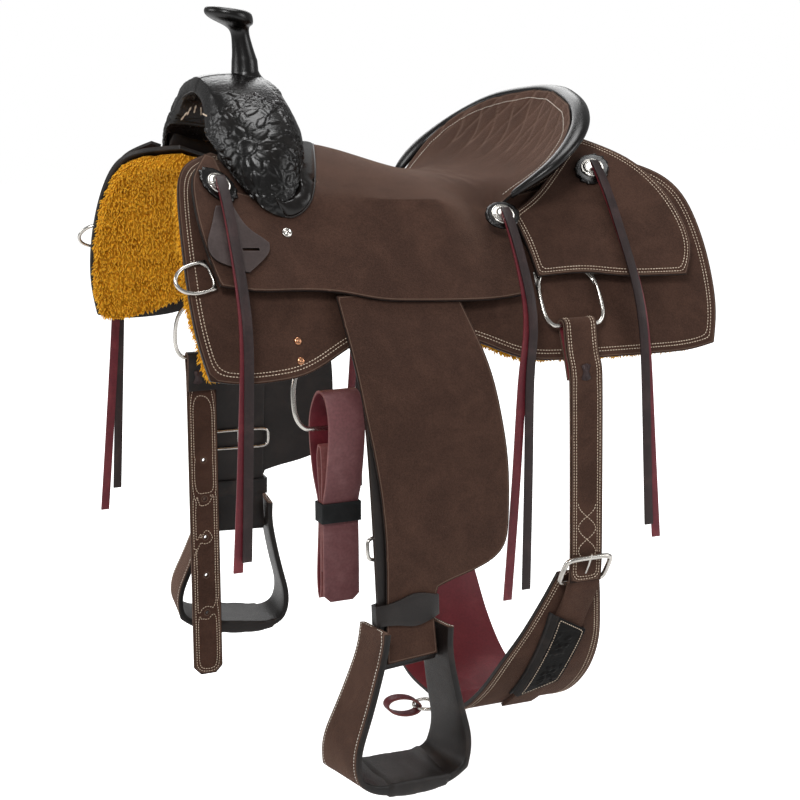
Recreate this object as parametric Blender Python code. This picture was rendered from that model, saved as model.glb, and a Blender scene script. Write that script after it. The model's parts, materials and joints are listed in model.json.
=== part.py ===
# Ranch saddle: tree, seat, skirts, in-skirt rigging, fenders, stirrups and flank cinch.
# Metres. +X runs to the horse's head, +Y to the near (left) side, +Z up.
# The origin lies on the centre plane, where a horse's back runs under the middle of the seat.

import math

import bmesh
import bpy
import numpy as np
from mathutils import Matrix

for old in list(bpy.data.objects):
    bpy.data.objects.remove(old)

GAP = 0.0004                    # clearance between pieces that touch

# The horse's side that the skirts lie on: half section (y, z), and its dip along the back
ARCH = ((0.000, 0.085), (0.050, 0.070), (0.112, 0.035), (0.165, -0.020),
        (0.205, -0.085), (0.230, -0.145), (0.246, -0.205), (0.256, -0.260))
DIP = 0.060
DIP_X = -0.020
DIP_HALF = 0.300
DIP_FADE = (0.150, 0.400)

SPLIT_EVEN = 0.00001            # diagonals of a cell that are this close count as equal

# Leather and other sheet thicknesses
SKIRT_T = 0.0060
FLEECE_T = 0.0140
PLATE_T = 0.0014
JOCKEY_T = 0.0045
PAD_T = 0.0080
GROUND_T = 0.0030
FENDER_T = 0.0034
LEATHER_T = 0.0034
BILLET_T = 0.0048
LATIGO_T = 0.0032
CINCH_T = 0.0060
STRING_T = 0.0022
COVER_T = 0.0030
POCKET_T = 0.0026
BACK_T = 0.0040
HOBBLE_T = 0.0030
BAND_T = 0.0020

# Tree bars, as distances down the side from the ridge and along X
BAR_TOP_S = 0.095
BAR_BOTTOM_S = 0.195
BAR_EDGE_T = 0.006
BAR_MID_T = 0.0100
BAR_SEAT_S = 0.132              # top edge under the middle and back of the seat
BAR_FRONT_X = 0.262
BAR_REAR_X = -0.290
CANTLE_BOARD_T = 0.007

# Skirts: outlines are (x, distance down the side), front top corner first
SKIRT_TOP = ((0.239, 0.063), (0.160, 0.072), (0.060, 0.098), (-0.040, 0.118), (-0.140, 0.118),
             (-0.200, 0.098), (-0.250, 0.063))
SKIRT_FRONT = ((0.239, 0.063), (0.276, 0.103), (0.300, 0.137), (0.314, 0.202),
               (0.320, 0.284), (0.317, 0.345), (0.306, 0.389))
SKIRT_BOTTOM = ((0.306, 0.389), (0.284, 0.397), (0.198, 0.394), (0.168, 0.383), (0.124, 0.350),
                (0.070, 0.338), (0.000, 0.344), (-0.046, 0.364), (-0.092, 0.394),
                (-0.144, 0.401), (-0.346, 0.404), (-0.373, 0.397))
SKIRT_REAR = ((-0.250, 0.063), (-0.313, 0.135), (-0.362, 0.198), (-0.379, 0.281),
              (-0.382, 0.345), (-0.381, 0.380), (-0.373, 0.397))
FLEECE_INSET = 0.003
FLEECE_NOTCH = 0.034            # how far the fleece stays above the skirt's edge at the rigging

# Rear jockeys
REAR_TOP = ((-0.122, 0.165), (-0.170, 0.140), (-0.225, 0.100), (-0.262, 0.075))
REAR_FRONT = ((-0.122, 0.165), (-0.126, 0.210), (-0.128, 0.274))
REAR_BOTTOM = ((-0.128, 0.274), (-0.190, 0.279), (-0.250, 0.297), (-0.334, 0.312))
REAR_REAR = ((-0.262, 0.075), (-0.313, 0.158), (-0.339, 0.217), (-0.350, 0.265),
             (-0.351, 0.297), (-0.334, 0.312))
JOCKEY_LIFT = 0.0152            # jockeys' underside over the skirt, with the dees' bars below

# Seat and front jockeys
SEAT_CENTRE = ((0.112, 0.060), (0.087, 0.058), (0.046, 0.047), (0.000, 0.030), (-0.050, 0.015),
               (-0.100, 0.010), (-0.140, 0.014), (-0.180, 0.030), (-0.212, 0.056),
               (-0.236, 0.086), (-0.254, 0.113))
SEAT_SHOULDER = ((0.112, 0.085, 0.040), (0.046, 0.090, 0.030), (-0.050, 0.098, 0.011),
                 (-0.100, 0.096, 0.005), (-0.140, 0.104, 0.012), (-0.180, 0.106, 0.034),
                 (-0.212, 0.090, 0.066), (-0.236, 0.056, 0.096), (-0.254, 0.012, 0.1135))
SEAT_RIM = ((-0.100, 0.152, -0.018), (-0.120, 0.162, -0.003), (-0.140, 0.174, 0.014),
            (-0.160, 0.181, 0.033), (-0.180, 0.177, 0.053), (-0.200, 0.163, 0.071),
            (-0.220, 0.137, 0.090), (-0.240, 0.080, 0.108), (-0.254, 0.024, 0.114))
SEAT_EDGE_S = 0.155
JOCKEY_FRONT = ((0.292, 0.155), (0.298, 0.200), (0.294, 0.250), (0.285, 0.286))
JOCKEY_BOTTOM = ((0.285, 0.286), (0.259, 0.290), (0.189, 0.282), (0.153, 0.281), (0.118, 0.286),
                 (0.085, 0.295), (0.045, 0.296), (-0.056, 0.301), (-0.106, 0.297))
JOCKEY_REAR = ((-0.100, 0.155), (-0.110, 0.194), (-0.119, 0.268), (-0.106, 0.297))
ROLL_W = 0.020
ROLL_T = 0.012
BACK_BASE = ((-0.106, 0.140), (-0.160, 0.135), (-0.205, 0.112), (-0.240, 0.078), (-0.262, 0.020))

# Fork: half sections as (inner y, inner z, outer y, outer z), from the top centre to the foot
FORK_SECTIONS = ((0.000, 0.120, 0.000, 0.146), (0.036, 0.112, 0.058, 0.135),
                 (0.058, 0.092, 0.107, 0.111), (0.069, 0.072, 0.149, 0.079),
                 (0.077, 0.060, 0.171, 0.038))
FORK_FOOT = (0.084, 0.174)      # inner and outer y of the foot ring
FORK_FRONT = (0.240, 0.242, 0.246, 0.249, 0.249, 0.246)
FORK_BACK = (0.147, 0.143, 0.136, 0.132, 0.134, 0.137)
FORK_WOOD_FOOT = (0.093, 0.132)
FORK_LIP = 0.010
FORK_ROWS = 12
FORK_ROW_STEP = 0.0025          # least height of each row over the foot ring
FORK_MIDDLE_X = 0.195

# Horn, leaning forward: (height, centre x, radius along X, radius along Y)
HORN_NECK = ((0.1465, 0.1700, 0.0230, 0.0240), (0.1530, 0.1705, 0.0180, 0.0190),
             (0.1650, 0.1720, 0.0150, 0.0155), (0.1800, 0.1745, 0.0128, 0.0130),
             (0.1930, 0.1765, 0.0112, 0.0115), (0.2010, 0.1790, 0.0140, 0.0150))
HORN_CAP = ((0.2060, 0.1860, 0.0260, 0.0270), (0.2110, 0.1910, 0.0310, 0.0315),
            (0.2160, 0.1930, 0.0315, 0.0320), (0.2210, 0.1935, 0.0295, 0.0300),
            (0.2235, 0.1935, 0.0225, 0.0230))
HORN_TILT = 8.0
HORN_CORE_R = 0.0075
HORN_CORE_TOP = 0.208

# Conchos: (x, distance down the side), and the rosette and string sizes
CONCHO_FRONT = (0.260, 0.155)
CONCHO_MID = (-0.097, 0.180)
CONCHO_REAR = (-0.250, 0.136)
ROSETTE_R = 0.0235
ROSETTE_T = 0.0035
CONCHO_R = 0.0150
CONCHO_T = 0.0030
SCALLOPS = 14
STRING_W = 0.0115

# Dees: wire, width, depth
DEE_WIRE = 0.0064
SMALL_WIRE = 0.0052
BREAST_DEE = (0.036, 0.046)
FRONT_DEE = (0.090, 0.095)
FRONT_DEE_LEAN = 8.3
FRONT_DEE_FLAT = 0.0270
FRONT_DEE_RAKE = 0.022         # how much lower the front end of its bar is than the middle
REAR_DEE = (0.084, 0.086)
REAR_DEE_FLAT = 0.0275
FLANK_DEE = (0.040, 0.030)
FRONT_DEE_X = 0.155
FRONT_DEE_S = 0.352
REAR_DEE_X = -0.170
REAR_DEE_S = 0.266

# Fenders and stirrup leathers: the line (y, z) that the inner face follows, and outlines (x, run)
LEG_X = 0.089
LEG_TOP = (0.1670, -0.0220)
LEG_LEAN = 27.0
LEG_STRAIGHT = 0.200
LEG_DROP = ((0.2735, -0.270), (0.2860, -0.360), (0.2955, -0.450))
BOLT = (0.302, -0.533)
TOE_OUT = 10.0
LEATHER_W = 0.076
BOLT_R = 0.0065
HOBBLE_RUN = 0.478
HOBBLE_W = (0.024, 0.040)
BUCKLE_RUN = HOBBLE_RUN - 0.077
FENDER_TOP = 0.100
FENDER_END = 0.540
FENDER_FRONT = ((0.142, 0.100), (0.133, 0.220), (0.124, 0.283), (0.117, 0.345), (0.115, 0.402),
                (0.118, 0.471), (0.123, FENDER_END))
FENDER_REAR = ((-0.012, 0.100), (-0.036, 0.190), (-0.051, 0.264), (-0.058, 0.321), (-0.058, 0.379),
               (-0.054, HOBBLE_RUN - 0.059), (-0.040, HOBBLE_RUN - 0.044), (-0.004, HOBBLE_RUN - 0.032),
               (0.028, HOBBLE_RUN - 0.026), (0.0495, HOBBLE_RUN - 0.018), (0.0515, HOBBLE_RUN - 0.008),
               (0.0515, FENDER_END))
LEATHER_RING = (0.088, 0.028)
LEATHER_RING_WIRE = 0.0050

# Stirrups: half outline (across, down from the bolt) of the band's middle, depth and thickness
STIRRUP_LINE = ((0.0455, -0.040), (0.0467, -0.015), (0.0560, 0.023), (0.0680, 0.063),
                (0.0795, 0.097), (0.0790, 0.125), (0.0700, 0.139), (0.0420, 0.149), (0.0000, 0.152))
STIRRUP_TILT = 5.4              # how far the foot of the stirrup hangs forward, in degrees
STIRRUP_PIVOT = 0.030           # how high above the bolt it is tilted
STIRRUP_DEPTH = (0.059, 0.088)
STIRRUP_T = 0.009
TREAD_T = 0.016

# Front rigging straps
LATIGO_W = 0.0455
LATIGO_X = 0.1465
BAND_W = 0.024
BAND_DROP = 0.103               # from the dee's lowest point to the band's middle
BILLET_W = 0.0430
OFF_BILLET_X = 0.1610
OFF_BILLET_TIP = -0.735
OFF_BILLET_FOLD = -0.308
BILLET_HOLES = 5
BILLET_HOLE_R = 0.0025
BILLET_HOLE_TOP = -0.411
BILLET_HOLE_STEP = 0.0575

# Flank rigging: half line (y, z) of the cinch's middle, from the bottom up to the buckle
CINCH_X = -0.167
CINCH_TOP_X = -0.194
CINCH_LINE = ((0.000, -0.730), (0.085, -0.712), (0.148, -0.664), (0.190, -0.598),
              (0.212, -0.535), (0.226, -0.474))
CINCH_W = (0.142, 0.159, 0.160, 0.144, 0.100, 0.052)
REAR_BILLET_W = 0.0455
REAR_LOOP_SLACK = 0.0015        # between the dee's wire and the billet that is doubled over it
BILLET_RUN_ON = 0.282           # how far the near billet's end lies on the cinch, past its buckle
FLANK_BUCKLE = (0.066, 0.046)
FLANK_BUCKLE_WIRE = 0.0075
POCKET = (0.062, 0.120)         # across and along the cinch
POCKET_FLARE = 0.28             # how much longer its front side is than its middle
POCKET_RUN = 0.229              # from the cinch's middle to the pocket's middle
CONNECTOR_W = 0.017
CONNECTOR_LENGTH = 0.052

# Keeper for the latigo's tail, hung under the near front concho
KEEPER_FRONT = ((0.272, 0.189), (0.277, 0.200), (0.281, 0.211), (0.286, 0.222), (0.292, 0.235),
                (0.2945, 0.246), (0.291, 0.257), (0.280, 0.261), (0.267, 0.263), (0.2515, 0.267))
KEEPER_REAR = ((0.250, 0.182), (0.247, 0.191), (0.244, 0.200), (0.238, 0.209), (0.229, 0.215),
               (0.220, 0.2185), (0.215, 0.225), (0.217, 0.235), (0.230, 0.250), (0.2485, 0.267))
KEEPER_SLOT = ((0.2515, 0.239), (0.230, 0.235))
KEEPER_SLOT_HALF = 0.0018
KEEPER_T = 0.003



def spline(points, count):
    """Evenly spaced points, count + 1 of them, on a smooth curve through the given ones."""
    given = np.asarray(points, float)
    if len(given) == 2:
        share = np.linspace(0.0, 1.0, count + 1)[:, None]
        return given[0] * (1.0 - share) + given[1] * share
    held = np.vstack([2 * given[0] - given[1], given, 2 * given[-1] - given[-2]])
    fine = []
    for k in range(len(given) - 1):
        a, b, c, d = held[k:k + 4]
        for t in np.arange(20) / 20.0:
            fine.append(0.5 * (2 * b + (c - a) * t + (2 * a - 5 * b + 4 * c - d) * t ** 2
                               + (3 * b - a - 3 * c + d) * t ** 3))
    fine.append(given[-1])
    fine = np.array(fine)
    run = np.r_[0.0, np.cumsum(np.linalg.norm(np.diff(fine, axis=0), axis=1))]
    even = np.linspace(0.0, run[-1], count + 1)
    return np.stack([np.interp(even, run, fine[:, k]) for k in range(fine.shape[1])], axis=1)


def normals_of(line):
    """Left-hand unit normals of a 2-D line."""
    along = np.gradient(line, axis=0)
    along /= np.linalg.norm(along, axis=1)[:, None]
    return np.stack([-along[:, 1], along[:, 0]], axis=1)


class Profile:
    """A line in the (y, z) plane, read by its run and by an offset to its outer side."""

    def __init__(self, points, count):
        self.line = spline(points, count)
        steps = np.linalg.norm(np.diff(self.line, axis=0), axis=1)
        self.run = np.r_[0.0, np.cumsum(steps)]
        self.normal = normals_of(self.line)

    def at(self, run, offset):
        y, z = (np.interp(run, self.run, self.line[:, k]) for k in (0, 1))
        ny, nz = (np.interp(run, self.run, self.normal[:, k]) for k in (0, 1))
        return y + ny * offset, z + nz * offset


arch = Profile(ARCH, 300)


def dip(x, s):
    fade = min(max((DIP_FADE[1] - s) / (DIP_FADE[1] - DIP_FADE[0]), 0.0), 1.0)
    return DIP * (1.0 - ((x - DIP_X) / DIP_HALF) ** 2) * fade


def side(x, s, lift):
    """A point on the near side: x, distance down from the ridge, height over the skirt's middle."""
    y, z = arch.at(s, lift)
    return np.array([x, y, z - dip(x, s)])


def coons(top, bottom, front, rear, across, down):
    """A grid of points filling the outline given by its four edges."""
    top, bottom = spline(top, across), spline(bottom, across)
    front, rear = spline(front, down), spline(rear, down)
    grid = np.zeros((across + 1, down + 1, top.shape[1]))
    for i in range(across + 1):
        u = i / across
        for j in range(down + 1):
            v = j / down
            blend = (1 - u) * front[j] + u * rear[j] + (1 - v) * top[i] + v * bottom[i]
            corners = ((1 - u) * (1 - v) * top[0] + u * (1 - v) * top[-1]
                       + (1 - u) * v * bottom[0] + u * v * bottom[-1])
            grid[i, j] = blend - corners
    return grid


def on_side(outline, lift):
    """Lay an outline grid on the near side; lift is a number or a function of x and s."""
    height = lift if callable(lift) else (lambda x, s: lift)
    return np.array([[side(x, s, height(x, s)) for x, s in row] for row in outline])


def offset_grid(grid, distance):
    """Move a grid of 3-D points along its own surface normals; positive is up and out."""
    across = np.gradient(grid, axis=0)
    down = np.gradient(grid, axis=1)
    normal = np.cross(across, down)
    normal /= np.linalg.norm(normal, axis=2)[:, :, None]
    if normal[..., 2].mean() < 0:
        normal = -normal
    return grid + normal * distance


def mirrored(points):
    return np.asarray(points) * np.array([1.0, -1.0, 1.0])


def material(name, colour, roughness, metallic):
    made = bpy.data.materials.new(name)
    made.use_nodes = True
    shader = made.node_tree.nodes["Principled BSDF"]
    shader.inputs["Base Color"].default_value = (*colour, 1.0)
    shader.inputs["Roughness"].default_value = roughness
    shader.inputs["Metallic"].default_value = metallic
    return made


FINISHES = {
    "roughout": ((0.060, 0.035, 0.026), 0.95, 0.0),
    "black_leather": ((0.016, 0.013, 0.012), 0.45, 0.0),
    "burgundy": ((0.110, 0.018, 0.022), 0.55, 0.0),
    "dark_leather": ((0.035, 0.024, 0.022), 0.60, 0.0),
    "fleece": ((0.800, 0.420, 0.040), 1.0, 0.0),
    "wood": ((0.450, 0.300, 0.160), 0.70, 0.0),
    "steel": ((0.550, 0.540, 0.520), 0.30, 1.0),
    "foam": ((0.600, 0.580, 0.500), 0.95, 0.0),
    "band": ((0.020, 0.022, 0.022), 0.90, 0.0),
}


def add_object(name, mesh, finish, hub=None):
    """Close the mesh's normals, give it its finish and hang it on its hub's origin."""
    work = bmesh.new()
    work.from_mesh(mesh)
    bmesh.ops.recalc_face_normals(work, faces=work.faces)
    work.to_mesh(mesh)
    work.free()
    made = bpy.data.objects.new(name, mesh)
    bpy.context.scene.collection.objects.link(made)
    mesh.materials.append(material(name + "_finish", *FINISHES[finish]))
    mesh.shade_smooth()
    mesh.set_sharp_from_angle(angle=math.radians(40))
    if hub is not None:
        mesh.transform(Matrix.Translation(-hub.matrix_world.translation))
        made.parent = hub
    return made


def mesh_of(name, points, faces):
    mesh = bpy.data.meshes.new(name)
    mesh.from_pydata([tuple(map(float, p)) for p in points], [], faces)
    return mesh


def halves(corners, ring):
    """A four-sided cell as two triangles, split along its shorter diagonal."""
    a, b, c, d = ring
    first, second = np.linalg.norm(corners[0] - corners[2]), np.linalg.norm(corners[1] - corners[3])
    return ((a, b, c), (a, c, d)) if first <= second + SPLIT_EVEN else ((a, b, d), (b, c, d))


def slab(name, low, high, finish, hub=None, keep=None, closed=False):
    """A closed solid between two matching grids of points; keep(i, j) picks its cells."""
    ni, nj = low.shape[:2]
    rows = ni if closed else ni - 1
    kept = {(i, j) for i in range(rows) for j in range(nj - 1) if keep is None or keep(i, j)}

    def index(layer, i, j):
        return layer * ni * nj + (i % ni) * nj + j

    faces = []
    for i, j in sorted(kept):
        ring = ((i, j), (i + 1, j), (i + 1, j + 1), (i, j + 1))
        corners = [low[a % ni, b] + high[a % ni, b] for a, b in ring]
        for trio in halves(corners, ring):
            faces.append([index(1, *p) for p in trio])
            faces.append([index(0, *p) for p in reversed(trio)])
        for (a, b), other in zip(zip(ring, ring[1:] + ring[:1]),
                                 ((i, j - 1), (i + 1, j), (i, j + 1), (i - 1, j))):
            across = (other[0] % ni, other[1]) if closed else other
            if across not in kept:
                faces.append([index(0, *a), index(0, *b), index(1, *b), index(1, *a)])
    points = np.vstack([low.reshape(-1, 3), high.reshape(-1, 3)])
    used = sorted({k for face in faces for k in face})
    place = {k: n for n, k in enumerate(used)}
    mesh = mesh_of(name, points[used], [[place[k] for k in face] for face in faces])
    return add_object(name, mesh, finish, hub)


def loft(name, rings, finish, hub=None, closed=False):
    """A closed solid through rings of points; open ends are filled with fans."""
    rings = [np.asarray(ring, float) for ring in rings]
    size = len(rings[0])
    points = list(np.vstack(rings))
    faces = []
    for k in range(len(rings) if closed else len(rings) - 1):
        nxt = (k + 1) % len(rings)
        for m in range(size):
            n = (m + 1) % size
            ring = (k * size + m, k * size + n, nxt * size + n, nxt * size + m)
            faces.extend(halves([points[p] for p in ring], ring))
    if not closed:
        for k, ring in ((0, rings[0]), (len(rings) - 1, rings[-1])):
            points.append(ring.mean(axis=0))
            for m in range(size):
                faces.append([k * size + m, k * size + (m + 1) % size, len(points) - 1])
    return add_object(name, mesh_of(name, points, faces), finish, hub)


def strap(name, path, outward, across, widths, thickness, finish, hub=None, closed=False):
    """A flat strap: path of its middle, outward and across directions, and its width."""
    path = np.asarray(path, float)
    half = 0.5 * thickness * np.asarray(outward, float)
    reach = np.asarray(across, float) * 0.5 * np.asarray(widths, float).reshape(-1, 1)
    low = np.stack([path - half - reach, path - half + reach], axis=1)
    high = np.stack([path + half - reach, path + half + reach], axis=1)
    return slab(name, low, high, finish, hub, closed=closed)


def plane_strap(name, line, x, width, thickness, finish, hub=None, mirror=1):
    """A strap whose middle follows a (y, z) line in the plane at x."""
    line = np.asarray(line, float)
    n = normals_of(line)
    path = np.stack([np.full(len(line), x), mirror * line[:, 0], line[:, 1]], axis=1)
    out = np.stack([np.zeros(len(line)), mirror * n[:, 0], n[:, 1]], axis=1)
    widths = np.broadcast_to(width, (len(line),))
    return strap(name, path, out, np.array([[1.0, 0.0, 0.0]]), widths, thickness, finish, hub)


def wire(name, points, diameter, finish, hub=None, sides=2):
    """A closed ring of round wire through the given points."""
    curve = bpy.data.curves.new(name, "CURVE")
    curve.dimensions = "3D"
    curve.bevel_depth = diameter / 2
    curve.bevel_resolution = sides
    line = curve.splines.new("POLY")
    line.points.add(len(points) - 1)
    origin = np.zeros(3) if hub is None else np.array(hub.matrix_world.translation)
    for knot, p in zip(line.points, points):
        knot.co = (*(np.asarray(p, float) - origin), 1.0)
    line.use_cyclic_u = True
    made = bpy.data.objects.new(name, curve)
    bpy.context.scene.collection.objects.link(made)
    curve.materials.append(material(name + "_finish", *FINISHES[finish]))
    made.parent = hub
    return made


def dee_points(centre, width, depth, along, down, flat=0.0, rake=0.0):
    """A dee: a bar through the centre, and a bow that is level for flat each side of its middle."""
    half = width / 2
    points = [centre - along * half - down * rake, centre, centre + along * half + down * rake]
    corner, rise = half - flat, min(1.6 * (half - flat), 0.72 * depth)
    for angle in np.radians(np.linspace(0, 90, 6)):
        points.append(centre + along * (flat + corner * math.cos(angle))
                      + down * (depth - rise * (1.0 - math.sin(angle))))
    for point in points[:2 if flat > 0 else 3:-1]:
        away = (point - centre) @ along
        points.append(point - along * 2 * away)
    return points


def hub_at(name, place, parent=None):
    """An empty on a joint's axis, which carries the pieces that move together."""
    made = bpy.data.objects.new(name, None)
    bpy.context.scene.collection.objects.link(made)
    start = np.zeros(3) if parent is None else np.array(parent.matrix_world.translation)
    made.parent = parent
    made.location = tuple(np.asarray(place, float) - start)
    bpy.context.view_layer.update()
    return made


def cut(target, cutter):
    cutter.hide_render = True
    cutter.display_type = "WIRE"
    tool = target.modifiers.new("cut", "BOOLEAN")
    tool.operation = "DIFFERENCE"
    tool.solver = "EXACT"
    tool.object = cutter


def bar_thickness(s):
    share = min(max((s - BAR_TOP_S) / (BAR_BOTTOM_S - BAR_TOP_S), 0.0), 1.0)
    return BAR_EDGE_T + (BAR_MID_T - BAR_EDGE_T) * math.sin(math.pi * share) ** 0.7


BAR_LOW = SKIRT_T / 2 + 3 * GAP


def bar_top(x, s):
    """Top of the bars over the skirt's middle, easing down to the skirt past their lower edge."""
    fade = min(max((s - BAR_BOTTOM_S) / 0.035, 0.0), 1.0)
    return BAR_LOW + bar_thickness(s) * (1.0 - fade)


leg_line = Profile(
    (LEG_TOP,
     (LEG_TOP[0] + 0.5 * LEG_STRAIGHT * math.sin(math.radians(LEG_LEAN)),
      LEG_TOP[1] - 0.5 * LEG_STRAIGHT * math.cos(math.radians(LEG_LEAN))),
     (LEG_TOP[0] + LEG_STRAIGHT * math.sin(math.radians(LEG_LEAN)),
      LEG_TOP[1] - LEG_STRAIGHT * math.cos(math.radians(LEG_LEAN))),
     *LEG_DROP, BOLT), 200)
LEG_RUN = leg_line.run[-1]
PLY_GAP = LEATHER_T + GAP
FENDER_OFFSET = 2 * PLY_GAP + 2 * GAP
STACK_T = FENDER_OFFSET + FENDER_T


def leg_bulge(run):
    """How far each ply stands off the middle to pass round the stirrup bolt."""
    near_bolt = min(max((run - (LEG_RUN - 0.045)) / 0.045, 0.0), 1.0)
    around = BOLT_R + GAP + LEATHER_T / 2 - PLY_GAP / 2
    return around * near_bolt * near_bolt * (3.0 - 2.0 * near_bolt)


def leg(x, run, offset):
    """A point of a near leg: x, run down from its top, offset out from its inner face."""
    y, z = leg_line.at(run, offset)
    turn = min(max((run - LEG_STRAIGHT) / (LEG_RUN - LEG_STRAIGHT), 0.0), 1.0)
    return np.array([x, y + (x - LEG_X) * math.tan(math.radians(TOE_OUT)) * turn, z])


def over_leg(x, s):
    """Lift that clears the fender and leathers, eased away from them along X."""
    point = side(x, s, 0.0)
    ahead = (x - FENDER_FRONT[0][0]) / 0.05
    behind = (FENDER_REAR[0][0] - 0.014 - x) / 0.05
    above = (0.150 - s) / 0.040
    fade = 1.0 - min(max(ahead, behind, above, 0.0), 1.0) ** 2
    lean = math.radians(LEG_LEAN)
    outward = np.array([math.cos(lean), math.sin(lean)])
    rise = (np.array(LEG_TOP) - point[1:]) @ outward
    unit = np.array(arch.at(s, 1.0)) - np.array(arch.at(s, 0.0))
    return (rise / (unit @ outward) + STACK_T + 4 * GAP) * fade if fade > 0 else 0.0


def jockey_low(x, s):
    """Underside of the front jockeys over the skirt's middle."""
    return max(JOCKEY_LIFT, bar_top(x, s) + 0.003, over_leg(x, s))


def jockey_high(x, s):
    return jockey_low(x, s) + JOCKEY_T


def rear_low(x, s):
    return max(JOCKEY_LIFT, bar_top(x, s) + 8 * GAP)


def rear_high(x, s):
    return rear_low(x, s) + JOCKEY_T


def rest_on(x, y, lift):
    """Height of a point at x and y that lies on the near side at a lift."""
    runs = np.linspace(0.02, 0.40, 120)
    points = np.array([side(x, s, lift(x, s)) for s in runs])
    return float(np.interp(y, points[:, 1], points[:, 2]))


def pair(build):
    """Run a builder for the near side (+1) and the off side (-1)."""
    for name, hand in (("near", 1), ("off", -1)):
        build(name, hand)


def handed(grid, hand):
    return grid if hand > 0 else mirrored(grid)


PLATE_LIFT = SKIRT_T / 2 + 3 * GAP


def build_bars(name, hand):
    middle = (BAR_TOP_S + BAR_BOTTOM_S) / 2
    top = ((BAR_FRONT_X - 0.012, BAR_TOP_S + 0.005), (0.150, BAR_TOP_S + 0.008), (0.060, BAR_SEAT_S),
           (-0.120, BAR_SEAT_S), (BAR_REAR_X + 0.010, BAR_SEAT_S))
    bottom = ((BAR_FRONT_X - 0.017, BAR_BOTTOM_S), (BAR_REAR_X + 0.020, BAR_BOTTOM_S))
    front = (top[0], (BAR_FRONT_X, middle), bottom[0])
    rear = (top[-1], (BAR_REAR_X, middle + 0.010), bottom[-1])
    outline = coons(top, bottom, front, rear, 14, 5)
    low = on_side(outline, BAR_LOW)
    high = on_side(outline, lambda x, s: BAR_LOW + bar_thickness(s))
    slab("tree_bar_" + name, handed(low, hand), handed(high, hand), "wood")


def build_skirt(name, hand):
    outline = coons(SKIRT_TOP, SKIRT_BOTTOM, SKIRT_FRONT, SKIRT_REAR, 18, 10)
    low, high = on_side(outline, -SKIRT_T / 2), on_side(outline, SKIRT_T / 2)
    slab("skirt_" + name, handed(low, hand), handed(high, hand), "roughout")


def build_fleece(name, hand):
    e = FLEECE_INSET
    notch = (FRONT_DEE_X - 0.090, FRONT_DEE_X + 0.060)
    front = [(x - e, s) for x, s in SKIRT_FRONT[:-1]] + [(SKIRT_FRONT[-1][0] - e, SKIRT_FRONT[-1][1] - e)]
    rear = [(x + e, s) for x, s in SKIRT_REAR[:-1]] + [(SKIRT_REAR[-1][0] + e, SKIRT_REAR[-1][1] - e)]
    bottom = [(x, s - (FLEECE_NOTCH if notch[0] < x < notch[1] else e)) for x, s in SKIRT_BOTTOM]
    bottom[0], bottom[-1] = front[-1], rear[-1]
    edge = (front[0], *SKIRT_TOP[1:-1], rear[0])
    outline = coons(edge, bottom, front, rear, 18, 10)
    top = -(PLATE_LIFT + PLATE_T + 3 * GAP)
    low, high = on_side(outline, top - FLEECE_T), on_side(outline, top)
    slab("fleece_" + name, handed(low, hand), handed(high, hand), "fleece")


def build_plate(name, hand):
    front_x = SKIRT_FRONT[4][0] - 0.015
    top = ((front_x, 0.262), (FRONT_DEE_X - 0.045, 0.285))
    bottom = ((front_x - 0.004, 0.340), (FRONT_DEE_X + 0.062, FRONT_DEE_S - 0.014),
              (FRONT_DEE_X + 0.012, FRONT_DEE_S - 0.024), (FRONT_DEE_X - 0.030, 0.330))
    outline = coons(top, bottom, (top[0], bottom[0]), (top[1], bottom[-1]), 8, 4)
    low = on_side(outline, -(PLATE_LIFT + PLATE_T))
    high = on_side(outline, -PLATE_LIFT)
    slab("rigging_plate_" + name, handed(low, hand), handed(high, hand), "steel")


def build_rear_jockey(name, hand):
    outline = coons(REAR_TOP, REAR_BOTTOM, REAR_FRONT, REAR_REAR, 9, 7)
    low, high = on_side(outline, rear_low), on_side(outline, rear_high)
    slab("rear_jockey_" + name, handed(low, hand), handed(high, hand), "roughout")


FRONT_STEPS, MIDDLE_STEPS, REAR_STEPS = 5, 6, 7
STATIONS = (0, 12, 21, 30, 38, 45, 56, 67, 78, 89, 100, 110)
SIDE_ROWS, TOP_ROWS = 5, 5


def guide(points, x):
    fine = spline(points, 120)[::-1]
    return np.array([np.interp(x, fine[:, 0], fine[:, k]) for k in range(fine.shape[1])])


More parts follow.
